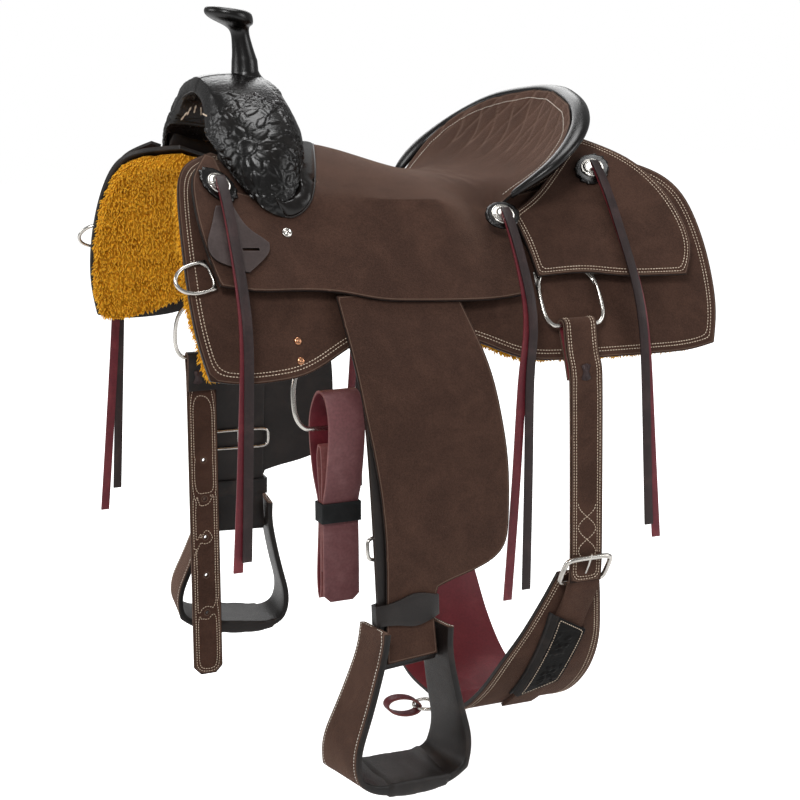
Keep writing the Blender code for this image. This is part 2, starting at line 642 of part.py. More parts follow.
def seat_grid():
    """Top face of the seat and front jockeys: stations back along X, rows near to off."""
    edge = ((JOCKEY_FRONT[0][0], SEAT_EDGE_S), (JOCKEY_REAR[0][0], SEAT_EDGE_S))
    steps = FRONT_STEPS + MIDDLE_STEPS
    outline = coons(edge, JOCKEY_BOTTOM, JOCKEY_FRONT, JOCKEY_REAR, 10 * steps, SIDE_ROWS)
    wing = on_side(outline[list(STATIONS)], jockey_high)
    half = np.zeros((steps + REAR_STEPS + 1, SIDE_ROWS + TOP_ROWS + 1, 3))
    for i in range(steps + REAR_STEPS + 1):
        if i <= steps:
            rim = wing[i, 0]
        else:
            share = (i - steps) / REAR_STEPS
            rim = guide(SEAT_RIM, SEAT_RIM[0][0] + (SEAT_RIM[-1][0] - SEAT_RIM[0][0]) * share)
        x = rim[0]
        centre = guide(SEAT_CENTRE, min(x, SEAT_CENTRE[0][0]))
        shoulder = guide(SEAT_SHOULDER, min(x, SEAT_SHOULDER[0][0]))
        section = spline(((0.0, centre[1]), (shoulder[1], shoulder[2]), (rim[1], rim[2])), TOP_ROWS)
        for j, (y, z) in enumerate(section):
            half[i, SIDE_ROWS + TOP_ROWS - j] = (x, y, z)
        if i <= 2:
            for j in range(1, TOP_ROWS + 1):
                s = SEAT_EDGE_S - (SEAT_EDGE_S - 0.030) * j / TOP_ROWS
                ahead = x - 0.6 * (SEAT_EDGE_S - s) if i == 0 else x
                half[i, SIDE_ROWS + j] = side(ahead, s, jockey_high(ahead, s))
        source = wing[min(i, steps)]
        shift = rim - source[0]
        for j in range(SIDE_ROWS):
            half[i, j] = source[SIDE_ROWS - j] + shift
    beside = half[FRONT_STEPS, SIDE_ROWS + 1] + np.array([0.009, 0.006, -0.002])
    half[FRONT_STEPS - 1, SIDE_ROWS + 1] = beside
    return np.concatenate([half, mirrored(half[:, -2::-1])], axis=1)


SEAT = seat_grid()
CENTRE_ROW = SIDE_ROWS + TOP_ROWS
LAST_WING = FRONT_STEPS + MIDDLE_STEPS


def seat_cell(i, j):
    inner = SIDE_ROWS <= j < SIDE_ROWS + 2 * TOP_ROWS
    row = min(j, 2 * CENTRE_ROW - 1 - j) - SIDE_ROWS
    beside_fork = (i, row) in ((0, 0), (0, 1), (FRONT_STEPS - 1, 0))
    return i >= FRONT_STEPS or beside_fork if inner else i < LAST_WING


def build_seat():
    under_face = offset_grid(SEAT, -JOCKEY_T)
    under_face[-1] = 0.88 * under_face[-1] + 0.12 * (SEAT[-1] + under_face[-2] - SEAT[-2])
    slab("seat_leather", under_face, SEAT, "roughout", keep=seat_cell)

    def pad_cell(i, j):
        reach = 2 if i < LAST_WING + 3 else 3
        return FRONT_STEPS + 1 <= i < LAST_WING + REAR_STEPS - 1 and abs(j + 0.5 - CENTRE_ROW) < reach

    under_leather = JOCKEY_T + 4 * GAP
    slab("seat_pad", offset_grid(SEAT, -(under_leather + PAD_T)), offset_grid(SEAT, -under_leather),
         "foam", keep=pad_cell)
    under_pad = under_leather + PAD_T + 4 * GAP
    slab("ground_seat", offset_grid(SEAT, -(under_pad + GROUND_T)), offset_grid(SEAT, -under_pad),
         "steel",
         keep=lambda i, j: FRONT_STEPS + 1 <= i < LAST_WING + 2 and abs(j + 0.5 - CENTRE_ROW) < 2)
    slab("tree_cantle", offset_grid(SEAT, -(under_pad + CANTLE_BOARD_T)),
         offset_grid(SEAT, -under_pad), "wood",
         keep=lambda i, j: LAST_WING + 3 <= i < LAST_WING + REAR_STEPS - 1
         and abs(j + 0.5 - CENTRE_ROW) < 3)


def rim_line():
    """The seat's rim from the near end over the cantle's top to the off end."""
    near = SEAT[LAST_WING:, SIDE_ROWS]
    off = SEAT[LAST_WING:, SIDE_ROWS + 2 * TOP_ROWS]
    top = (near[-1] + off[-1]) / 2
    top[0] = SEAT_RIM[-1][0] - 0.0025
    return spline(np.vstack([near[1:], top[None], off[:0:-1]]), 22)


def rim_outward(line):
    """Level unit directions pointing away from the seat along the rim."""
    along = np.gradient(line, axis=0)
    out = np.stack([along[:, 1], -along[:, 0], np.zeros(len(line))], axis=1)
    out /= np.linalg.norm(out, axis=1)[:, None]
    return out if out[0, 1] > 0 else -out


def build_cantle():
    line = rim_line()
    out = rim_outward(line)
    middle = line + out * (ROLL_W / 2 + 0.0020)
    rings = []
    for k, (p, o) in enumerate(zip(middle, out)):
        end = min(k, len(middle) - 1 - k)
        size = (0.45, 0.80, 1.0)[min(end, 2)]
        rings.append([p + o * math.cos(a) * size * ROLL_W / 2
                      + np.array([0, 0, math.sin(a) * size * ROLL_T / 2 - 0.0015])
                      for a in np.linspace(0, 2 * math.pi, 10, endpoint=False)])
    loft("cantle_roll", rings, "black_leather")

    base = spline(BACK_BASE, 11)
    near = [side(x, s, rear_high(x, s) + 3 * GAP) for x, s in base]
    foot = np.array(near + [np.array([near[-1][0] - 0.002, 0.0, near[-1][2] + 0.001])]
                    + [mirrored(p) for p in near[::-1]])
    foot = spline(foot[1:-1], len(line) - 5)
    out = out[2:-2]
    head = middle[2:-2] + np.array([0, 0, -(ROLL_T / 2 + 0.0030)]) + out * 0.002
    inner = out * BACK_T
    steps = np.linspace(0.0, 1.0, 5)[None, :, None]
    bow = out[:, None, :] * (0.004 * np.sin(math.pi * steps))
    high = head[:, None, :] * (1 - steps) + foot[:, None, :] * steps + bow
    slab("cantle_back", high - inner[:, None, :], high, "black_leather")


def fork_rows():
    """Sections of the fork's cover as evenly spaced rows, the foot standing on the leather."""
    last = np.array(FORK_SECTIONS[-1])
    last[0], last[2] = FORK_FOOT
    last[1], last[3] = (rest_on(FORK_MIDDLE_X, y, cover_lift) for y in FORK_FOOT)
    table = np.hstack([np.vstack([np.array(FORK_SECTIONS), last]),
                       np.array(FORK_FRONT)[:, None], np.array(FORK_BACK)[:, None]])
    return spline(table, FORK_ROWS)


def cover_lift(x, s):
    return jockey_high(x, s) + 13 * GAP


def wood_lift(x, s):
    return bar_top(x, s) + 8 * GAP


def fork_ring(row, foot=None):
    """One ring round the fork's section; a foot ring stands on the surface that foot gives."""
    yi, zi, yo, zo, front, back = row
    inner, outer = np.array([yi, zi]), np.array([yo, zo])
    depth = np.linalg.norm(outer - inner)
    up = (outer - inner) / depth
    centre, reach = (front + back) / 2, (front - back) / 2
    ring = [(-reach + 0.008, 0.0), (0.0, 0.0), (reach - 0.004, 0.0), (reach, FORK_LIP * 0.35),
            (reach, FORK_LIP)]
    for angle in (28, 52, 77, 103, 128, 152):
        a = math.radians(angle)
        ring.append((reach * math.cos(a), FORK_LIP + (depth - FORK_LIP) * math.sin(a) ** row_flat(zi)))
    ring += [(-reach, FORK_LIP), (-reach, FORK_LIP * 0.35)]
    points = []
    for across, rise in ring:
        y, z = inner + up * rise
        x = centre + across
        points.append(np.array([x, y, z if foot is None else rest_on(x, y, foot)]))
    return points


def row_flat(inner_z):
    """How squarely a section bulges: round at the top of the arch, fuller down the swells."""
    share = (FORK_SECTIONS[0][1] - inner_z) / (FORK_SECTIONS[0][1] - FORK_SECTIONS[2][1])
    return 0.45 + 0.40 * min(max(share, 0.0), 1.0)


def fork_skin():
    """The cover's outer face: rings across, rows from the near foot over the arch to the off foot."""
    rows = fork_rows()
    foot = np.array(fork_ring(rows[-1], cover_lift))
    half = []
    for k, row in enumerate(rows[:-1]):
        ring = np.array(fork_ring(row))
        ring[:, 2] = np.maximum(ring[:, 2], foot[:, 2] + FORK_ROW_STEP * (FORK_ROWS - k))
        half.append(ring)
    half.append(foot)
    whole = half[::-1] + [mirrored(ring) for ring in half[1:]]
    return np.array(whole).transpose(1, 0, 2)


def inside_of(skin, distance, easing):
    """The skin's closed rings moved inwards along their normals, then eased at the corners."""
    across = np.roll(skin, -1, axis=0) - np.roll(skin, 1, axis=0)
    along = np.gradient(skin, axis=1)
    normal = np.cross(across, along)
    normal /= np.linalg.norm(normal, axis=2)[:, :, None]
    middle = skin.mean(axis=0)[None]
    if ((skin - middle) * normal).sum() < 0:
        normal = -normal
    inner = skin - normal * distance
    for _ in range(round(distance / COVER_T * easing)):
        inner = (np.roll(inner, 1, axis=0) + 2 * inner + np.roll(inner, -1, axis=0)) / 4
    return inner


def horn_ring(level, count=14):
    z, x, rx, ry = level
    return [np.array([x + rx * math.cos(a), ry * math.sin(a), z])
            for a in np.linspace(0, 2 * math.pi, count, endpoint=False)]


def tipped(point, pivot, tilt):
    """A point turned about the Y axis through pivot, front up."""
    x, _, z = point - pivot
    return np.array([pivot[0] + x * math.cos(tilt) - z * math.sin(tilt), point[1],
                     pivot[2] + x * math.sin(tilt) + z * math.cos(tilt)])


def build_fork():
    skin = fork_skin()
    cover = slab("fork_cover", inside_of(skin, COVER_T, 1), skin, "black_leather", closed=True)
    wood = inside_of(skin, COVER_T + 3 * GAP, 2)
    foot_row = fork_rows()[-1]
    foot_row[0], foot_row[2] = FORK_WOOD_FOOT
    foot_row[4] -= COVER_T + 3 * GAP
    foot_row[5] += COVER_T + 3 * GAP
    foot = np.array(fork_ring(foot_row, wood_lift))
    wood[:, 0], wood[:, -1] = foot, mirrored(foot)
    loft("tree_fork", list(wood.transpose(1, 0, 2)), "wood")

    levels = HORN_NECK + HORN_CAP
    heights = [level[0] for level in levels]
    middles = [level[1] for level in levels]
    crown = FORK_SECTIONS[0][3]

    def core_ring(z, grow):
        return horn_ring((z, float(np.interp(z, heights, middles)), HORN_CORE_R + grow,
                          HORN_CORE_R + grow), 10)

    bottom = crown - COVER_T + GAP
    loft("horn_core", [core_ring(z, 0.0) for z in (bottom, heights[0], 0.170, 0.190, HORN_CORE_TOP)],
         "steel")
    hole = loft("horn_hole", [core_ring(z, GAP) for z in (crown - 2 * COVER_T, heights[0] + 0.01)],
                "steel")
    cut(cover, hole)
    bore = [horn_ring((z, float(np.interp(z, heights, middles)), HORN_CORE_R + GAP,
                       HORN_CORE_R + GAP))
            for z in (HORN_CORE_TOP + GAP, 0.190, 0.170, heights[0])]
    tilt = math.radians(HORN_TILT)
    pivot = np.array([HORN_CAP[1][1], 0.0, HORN_CAP[0][0]])
    skin_rings = [horn_ring(level) for level in HORN_NECK]
    for level in HORN_CAP:
        skin_rings.append([tipped(p, pivot, tilt) for p in horn_ring(level)])
    loft("horn_cover", bore + skin_rings, "black_leather")


def surface_frame(x, s, lift, hand):
    """Centre and unit directions (forward, down the side, outward) at a point of the side."""
    here = side(x, s, lift)
    down = side(x, s + 0.01, lift) - side(x, s - 0.01, lift)
    forward = side(x + 0.01, s, lift) - side(x - 0.01, s, lift)
    down, forward = down / np.linalg.norm(down), forward / np.linalg.norm(forward)
    outward = np.cross(forward, down)
    outward = outward if outward[1] > 0 else -outward
    flip = np.array([1.0, hand, 1.0])
    return here * flip, forward * flip, down * flip, outward * flip


STRING_ENDS = {"front near": ((0.284, -0.415), (0.274, -0.402)),
               "front off": ((0.300, -0.475), (0.280, -0.446)),
               "mid": ((-0.069, -0.498), (-0.093, -0.486)),
               "rear": ((-0.284, -0.442), (-0.270, -0.423))}
PLACES = {"front": CONCHO_FRONT, "mid": CONCHO_MID, "rear": CONCHO_REAR}


def surface_lift(station, x, s):
    """Top of the leather that a concho sits on."""
    rise = 0.0186 if station == "mid" else 0.0
    return (rear_high if station == "rear" else jockey_high)(x, s) + rise


def build_concho(station, name, hand):
    """Scalloped leather rosette, bent to the surface under it, with a domed metal concho on it."""
    x, s = PLACES[station]
    count = 2 * SCALLOPS
    flip = np.array([1.0, hand, 1.0])

    def ring(radius, rise, scallop):
        points = []
        for k, a in enumerate(np.linspace(0, 2 * math.pi, count, endpoint=False)):
            r = radius * (1 - 0.09 * scallop * (k % 2))
            px, ps = x + r * math.cos(a), s + r * math.sin(a)
            points.append(side(px, ps, surface_lift(station, px, ps) + 2 * GAP + rise) * flip)
        return points

    rings = [ring(ROSETTE_R * share, ROSETTE_T * rise, scallop) for share, rise, scallop in
             ((0.3, 0.0, 0), (1.0, 0.0, 1), (1.0, 0.7, 1), (0.90, 1.0, 0), (0.66, 1.0, 0))]
    rings += [ring(CONCHO_R * share, ROSETTE_T + CONCHO_T * rise, 0) for share, rise in
              ((1.0, 0.05), (0.94, 0.6), (0.5, 1.0))]
    loft("concho_" + station + "_" + name, rings, "black_leather")


def build_string(station, name, hand):
    """One string folded double: out of its concho, down over the leather, then hanging free."""
    x, s = PLACES[station]
    stand = surface_lift(station, x, s) + ROSETTE_T + CONCHO_T + 0.0050
    lip = surface_lift(station, x, 0.290) + (0.0085 if station == "front" else 0.004)
    drop = side(x, 0.405, 0.0)
    tails = []
    ends = STRING_ENDS.get(station + " " + name) or STRING_ENDS[station]
    for k, (end_x, end_z) in enumerate(ends):
        over = k * (STRING_T + 4 * GAP)
        guides = [side(x, s, stand), side(x, s + 0.030, stand - 0.001),
                  side(x, 0.290, lip), side(x, 0.345, lip - 0.001), side(x, 0.405, 0.014),
                  np.array([x, drop[1] + 0.016, (drop[2] + end_z) / 2]),
                  np.array([x, drop[1] + 0.017, end_z])]
        line = spline(np.array(guides)[:, 1:], 12)
        out = normals_of(line)
        share = np.linspace(0.0, 1.0, len(line)) ** 1.3
        moved = line + out * over
        tails.append(np.stack([x + (end_x - x) * share, moved[:, 0], moved[:, 1]], axis=1))
    faces = np.column_stack([np.zeros(len(out)), out])
    up = tails[0][0] - tails[0][1]
    up /= np.linalg.norm(up)
    fold = (tails[0][0] + tails[1][0]) / 2 + up * 0.004
    path = np.vstack([tails[0][::-1], fold[None], tails[1]])
    outward = np.vstack([faces[::-1], [-up], -faces])
    flip = np.array([1.0, hand, 1.0])
    hub = hub_at("string_" + station + "_" + name + "_hub", fold * flip)
    strap("string_" + station + "_" + name, path * flip, outward * flip, np.array([[1.0, 0.0, 0.0]]),
          np.full(len(path), STRING_W), STRING_T, "burgundy", hub)


def breast_dee_frame(hand):
    x, s = JOCKEY_FRONT[2][0] - 0.004, 0.269
    lift = SKIRT_T / 2 + GAP + SMALL_WIRE / 2
    centre, forward, down, _ = surface_frame(x, s, lift, hand)
    slope = side(*JOCKEY_FRONT[3], lift) - side(*JOCKEY_FRONT[2], lift)
    along = slope / np.linalg.norm(slope) * np.array([1.0, hand, 1.0])
    ahead = forward - along * (forward @ along)
    return centre, along, ahead / np.linalg.norm(ahead)


def build_breast_dee(name, hand):
    centre, along, ahead = breast_dee_frame(hand)
    hub = hub_at("breast_dee_" + name + "_hub", centre)
    wire("breast_dee_" + name, dee_points(centre, *BREAST_DEE, along, ahead), SMALL_WIRE, "steel", hub)


def build_front_dee(name, hand):
    lift = -(PLATE_LIFT + PLATE_T + 10 * GAP + DEE_WIRE / 2)
    centre = side(FRONT_DEE_X, FRONT_DEE_S, lift) * np.array([1.0, hand, 1.0])
    forward = np.array([1.0, 0.0, 0.0])
    lean = math.radians(FRONT_DEE_LEAN)
    down = np.array([0.0, hand * math.sin(lean), -math.cos(lean)])
    hub = hub_at("front_dee_" + name + "_hub", centre)
    points = dee_points(centre, *FRONT_DEE, forward, down, FRONT_DEE_FLAT, FRONT_DEE_RAKE)
    wire("front_dee_" + name, points, DEE_WIRE, "steel", hub)
    return hub, centre + down * FRONT_DEE[1]


LATIGO_FOLDS = ((0.0082, -0.2139), (0.0080, -0.1549), (0.0070, -0.1239), (0.0066, -0.0929),
                (0.0170, -0.0639), (0.0275, -0.0097), (0.0260, 0.0200), (0.0130, 0.0410),
                (-0.0080, 0.0420), (-0.0270, 0.0200), (-0.0340, -0.0097), (-0.0240, -0.0581),
                (-0.0066, -0.0929), (-0.0066, -0.1239), (-0.0105, -0.1626), (-0.0120, -0.1879),
                (-0.0092, -0.2082), (-0.0044, -0.2116), (-0.0010, -0.1936), (-0.0018, -0.1549),
                (-0.0022, -0.1239), (-0.0022, -0.0929), (-0.0075, -0.0600), (-0.0100, -0.0348),
                (-0.0050, -0.0213), (0.0020, -0.0271), (0.0050, -0.0581), (0.0022, -0.0929),
                (0.0022, -0.1239), (0.0024, -0.1549), (0.0028, -0.1762))


def build_latigo(dee_hub, low):
    """The latigo, folded up: (out, up) from the dee's lowest point."""
    hub = hub_at("latigo_hub", low, dee_hub)
    line = spline(np.array(LATIGO_FOLDS) + low[1:], 130)
    latigo = plane_strap("latigo", line, LATIGO_X, LATIGO_W, LATIGO_T, "burgundy", hub)
    tip_y, tip_z = low[1] + LATIGO_FOLDS[0][0], low[2] + LATIGO_FOLDS[0][1]
    tip = hub_at("latigo_tip_hub", (LATIGO_X, tip_y, tip_z), hub)
    for hand in (-1, 1):
        corner = [np.array([LATIGO_X + hand * a, tip_y + out, tip_z + up])
                  for out in (-0.003, 0.003)
                  for a, up in ((0.004, -0.010), (0.040, -0.010), (0.040, 0.024))]
        wedge = loft("latigo_corner_" + ("front" if hand > 0 else "rear"),
                     [corner[:3], corner[3:]], "burgundy", tip)
        cut(latigo, wedge)

    half_x = LATIGO_W / 2 + GAP + BAND_T / 2
    half_y = 2 * 0.0022 + 0.0022 + LATIGO_T / 2 + 3 * GAP + BAND_T / 2
    path, outward = [], []
    for k in range(24):
        a = 2 * math.pi * k / 24
        c, d = math.cos(a), math.sin(a)
        reach = 1.0 / max(abs(c), abs(d))
        spot = np.array([c, d]) * reach
        path.append([LATIGO_X + spot[0] * half_x, low[1] + spot[1] * half_y, low[2] - BAND_DROP])
        normal = np.array([np.sign(c) * (abs(spot[0]) > 0.99), np.sign(d) * (abs(spot[1]) > 0.99), 0.0])
        outward.append(normal)
    strap("latigo_band", path, outward, np.array([[0.0, 0.0, 1.0]]), np.full(24, BAND_W), BAND_T,
          "band", hub, closed=True)


def fold_over(wire_centre, wire_d, thickness, back, front, lean=0.0):
    """A strap's line doubled over a wire: up the back points, round the wire, down the front ones."""
    radius = wire_d / 2 + 2 * GAP + thickness / 2
    y, z = wire_centre
    turn = [(y + radius * math.cos(a), z + radius * math.sin(a))
            for a in np.radians(np.linspace(180 + lean, lean, 9))]
    return np.vstack([spline(back, 4), spline([back[-1], turn[0]], 2)[1:-1], turn,
                      spline([turn[-1], front[0]], 2)[1:], spline(front[:2], 2)[1:],
                      spline(front[1:], 13)[1:]])


def build_off_billet(dee_hub, low):
    hub = hub_at("off_billet_hub", low, dee_hub)
    y, z = -low[1], low[2]
    close = BILLET_T / 2 + GAP
    back = ((y - close, OFF_BILLET_FOLD), (y - close, z - 0.034), (y - close - 0.002, z - 0.016))
    front = ((y + close + 0.002, z - 0.016), (y + close, z - 0.034), (y + close, OFF_BILLET_TIP))
    line = fold_over((y, z), DEE_WIRE, BILLET_T, back, front)
    billet = plane_strap("off_billet", line, OFF_BILLET_X, BILLET_W, BILLET_T, "roughout", hub, mirror=-1)
    for k in range(BILLET_HOLES):
        centre = np.array([OFF_BILLET_X, -(y + close), BILLET_HOLE_TOP - BILLET_HOLE_STEP * k])
        rings = [[centre + np.array([BILLET_HOLE_R * math.cos(a), out, BILLET_HOLE_R * math.sin(a)])
                  for a in np.linspace(0, 2 * math.pi, 8, endpoint=False)] for out in (-0.006, 0.006)]
        cut(billet, loft("billet_hole_%d" % (k + 1), rings, "steel", hub))
    point = [np.array([OFF_BILLET_X, -(y + close), OFF_BILLET_TIP])]
    for hand in (-1, 1):
        corner = [[point[0] + np.array([hand * a, out, up])
                   for a, up in ((0.002, -0.010), (0.040, -0.010), (0.040, 0.030))]
                  for out in (-0.006, 0.006)]
        cut(billet, loft("billet_corner_" + ("front" if hand > 0 else "rear"), corner, "steel", hub))


def build_rear_dee(name, hand):
    top_lift = SKIRT_T / 2 + 8 * GAP + DEE_WIRE / 2
    low_lift = SKIRT_T / 2 + BILLET_T + 7 * GAP + DEE_WIRE / 2
    top = side(REAR_DEE_X, REAR_DEE_S, top_lift)
    low = side(REAR_DEE_X, REAR_DEE_S + REAR_DEE[1], low_lift)
    flip = np.array([1.0, hand, 1.0])
    down = (low - top) / np.linalg.norm(low - top)
    points = dee_points(top * flip, REAR_DEE[0], np.linalg.norm(low - top), np.array([1.0, 0, 0]),
                        down * flip, REAR_DEE_FLAT)
    wire("rear_dee_" + name, points, DEE_WIRE, "steel")
    return low


cinch_half = Profile(CINCH_LINE, 160)
CINCH_RUN = cinch_half.run[-1]
WEAVE = CINCH_T / 2 + GAP + FLANK_BUCKLE_WIRE + GAP + BILLET_T / 2
LIE = CINCH_T / 2 + GAP + BILLET_T / 2


def build_rear_billet(name, hand, low, hub):
    """Doubled over the rear dee, down over the skirt and through the buckle, then on along the cinch."""
    y, z = low[1], low[2]
    ply = BILLET_T + 2 * GAP
    run_on = BILLET_RUN_ON if hand > 0 else 0.120
    under = SKIRT_T / 2 + 3 * GAP + BILLET_T / 2
    edge_s = REAR_DEE_S + REAR_DEE[1] + 0.045
    back = [side(REAR_DEE_X, edge_s + 0.030, under)[1:], side(REAR_DEE_X, edge_s, under)[1:]]
    front = [side(REAR_DEE_X, edge_s, under + ply)[1:], side(REAR_DEE_X, edge_s + 0.030, under + ply)[1:]]
    for back_run, offset in ((0.0, WEAVE + 2 * GAP), (0.014, WEAVE + GAP), (0.030, WEAVE + GAP),
                             (0.050, (WEAVE + LIE) / 2 + 2 * GAP), (0.072, LIE + 3 * GAP)):
        front.append(cinch_half.at(CINCH_RUN - back_run, -offset))
    for run in np.arange(0.092, run_on, 0.025):
        front.append(cinch_half.at(CINCH_RUN - run, -(LIE + 3 * GAP)))
    radius = DEE_WIRE / 2 + REAR_LOOP_SLACK + BILLET_T / 2
    turn = [(y + radius * math.cos(a), z + radius * math.sin(a))
            for a in np.radians(np.linspace(190, -10, 9))]
    line = np.vstack([spline([*back, turn[0]], 4)[:-1], turn, spline([turn[-1], *front], 34)[1:]])
    low_share = np.clip((z - line[:, 1]) / (z - CINCH_LINE[-1][1]), 0.0, 1.0)
    x = np.array([REAR_DEE_X + (CINCH_TOP_X - REAR_DEE_X) * share if share < 1.0 else cinch_x(at_y)
                  for share, at_y in zip(low_share, line[:, 0])])
    n = normals_of(line)
    path = np.stack([x, hand * line[:, 0], line[:, 1]], axis=1)
    out = np.stack([np.zeros(len(line)), hand * n[:, 0], n[:, 1]], axis=1)
    strap("rear_billet_" + name, path, out, np.array([[1.0, 0.0, 0.0]]),
          np.full(len(line), REAR_BILLET_W), BILLET_T, "roughout", hub)


def build_flank_buckle(name, hand, hub):
    """A heavy frame lying across the strap: its upper bar over the billet, lower bar under it."""
    upper = np.array(cinch_half.at(CINCH_RUN, -(WEAVE + BILLET_T / 2 + GAP + FLANK_BUCKLE_WIRE / 2)))
    upper = upper + np.array([0.0050, 0.016])
    lower = np.array(cinch_half.at(CINCH_RUN - FLANK_BUCKLE[1] + 0.020,
                                   -(CINCH_T / 2 + GAP + FLANK_BUCKLE_WIRE / 2)))
    half = FLANK_BUCKLE[0] / 2
    points = []
    for a in np.linspace(0, 2 * math.pi, 24, endpoint=False):
        c, d = math.cos(a), math.sin(a)
        across = half * math.copysign(abs(c) ** 0.35, c)
        share = 0.5 + 0.5 * math.copysign(abs(d) ** 0.35, d)
        y, z = lower + (upper - lower) * share
        points.append(np.array([CINCH_TOP_X + across, hand * y, z]))
    wire("flank_buckle_" + name, points, FLANK_BUCKLE_WIRE, "steel", hub)


def cinch_x(y):
    """Where the cinch lies along the horse: back at the buckles, further forward under the belly."""
    return CINCH_X + (CINCH_TOP_X - CINCH_X) * min(abs(y) / CINCH_LINE[-1][0], 1.0) ** 5


def cinch_path(count):
    """Middle of the cinch from the off buckle under the belly to the near buckle."""
    runs = np.linspace(-CINCH_RUN, CINCH_RUN, count)
    path, outward, widths = [], [], []
    width_line = spline([(k, w) for k, w in enumerate(CINCH_W)], 40)
    for run in runs:
        hand = 1.0 if run >= 0 else -1.0
        y, z = cinch_half.at(abs(run), 0.0)
        oy, oz = cinch_half.at(abs(run), -1.0)
        path.append([cinch_x(y), hand * y, z])
        outward.append([0.0, hand * (oy - y), oz - z])
        station = abs(run) / CINCH_RUN * (len(CINCH_W) - 1)
        widths.append(np.interp(station, width_line[:, 0], width_line[:, 1]))
    return np.array(path), np.array(outward), np.array(widths)


def build_pocket(hub):
    """The sewn pocket that takes the near billet's end: low at its sewn sides, raised between."""
    raised = REAR_BILLET_W / 2 + 0.0016
    columns = (-POCKET[0] / 2, -raised - 0.003, -raised, raised, raised + 0.003, POCKET[0] / 2)
    runs = np.linspace(POCKET_RUN - POCKET[1] / 2, POCKET_RUN + POCKET[1] / 2, 11)
    low, high = [], []
    for run in runs:
        rows = [[], []]
        for k, across in enumerate(columns):
            rise = LIE + BILLET_T / 2 + 6 * GAP if k in (2, 3) else CINCH_T / 2 + 2 * GAP
            slant = 1.0 + POCKET_FLARE * across / (POCKET[0] / 2)
            for row, extra in zip(rows, (0.0, POCKET_T)):
                y, z = cinch_half.at(POCKET_RUN + (run - POCKET_RUN) * slant, -(rise + extra))
                row.append([cinch_x(y) + across, y, z])
        low.append(rows[0])
        high.append(rows[1])
    slab("flank_pocket_near", np.array(low), np.array(high), "black_leather", hub)


def build_flank():
    lows = {name: build_rear_dee(name, hand) for name, hand in (("near", 1), ("off", -1))}
    hub = hub_at("flank_hub", (REAR_DEE_X, 0.0, lows["near"][2]))
    for name, hand in (("near", 1), ("off", -1)):
        build_rear_billet(name, hand, lows[name], hub)
        build_flank_buckle(name, hand, hub)
    path, outward, widths = cinch_path(61)
    trim = 1
    strap("flank_cinch", path[trim:-trim], outward[trim:-trim], np.array([[1.0, 0.0, 0.0]]),
          widths[trim:-trim], CINCH_T, "roughout", hub)
    build_pocket(hub)

    bar_x = CINCH_X + CINCH_W[0] / 2 + 0.003
    bar_z = CINCH_LINE[0][1] - CINCH_T / 2 - 2 * GAP - SMALL_WIRE / 2
    centre = np.array([bar_x, 0.0, bar_z])
    wire("flank_dee", dee_points(centre, *FLANK_DEE, np.array([0, 1.0, 0]), np.array([1.0, 0, 0])),
         SMALL_WIRE, "steel", hub)

    thickness = 0.003
    bow = centre + np.array([FLANK_DEE[1], 0.0, 0.0])
    loop_hub = hub_at("connector_hub", bow, hub)
    reach, rise = CONNECTOR_LENGTH / 2, 0.0125
    tip_up = math.radians(14)
    path, out = [], []
    for a in np.linspace(0, 2 * math.pi, 24, endpoint=False):
        away = np.array([math.cos(a) * reach, math.sin(a) * rise])
        normal = np.array([math.cos(a) / reach, math.sin(a) / rise])
        normal /= np.linalg.norm(normal)
        shift = reach - SMALL_WIRE / 2 - thickness / 2 - 9 * GAP
        away = away + np.array([shift, 0.0])
        turn = np.array([[math.cos(tip_up), -math.sin(tip_up)], [math.sin(tip_up), math.cos(tip_up)]])
        spot, face = turn @ away, turn @ normal
        path.append(bow + np.array([spot[0], 0.0, spot[1]]))
        out.append([face[0], 0.0, face[1]])
    strap("connector_strap", path, out, np.array([[0.0, 1.0, 0.0]]), np.full(24, CONNECTOR_W),
          thickness, "burgundy", loop_hub, closed=True)


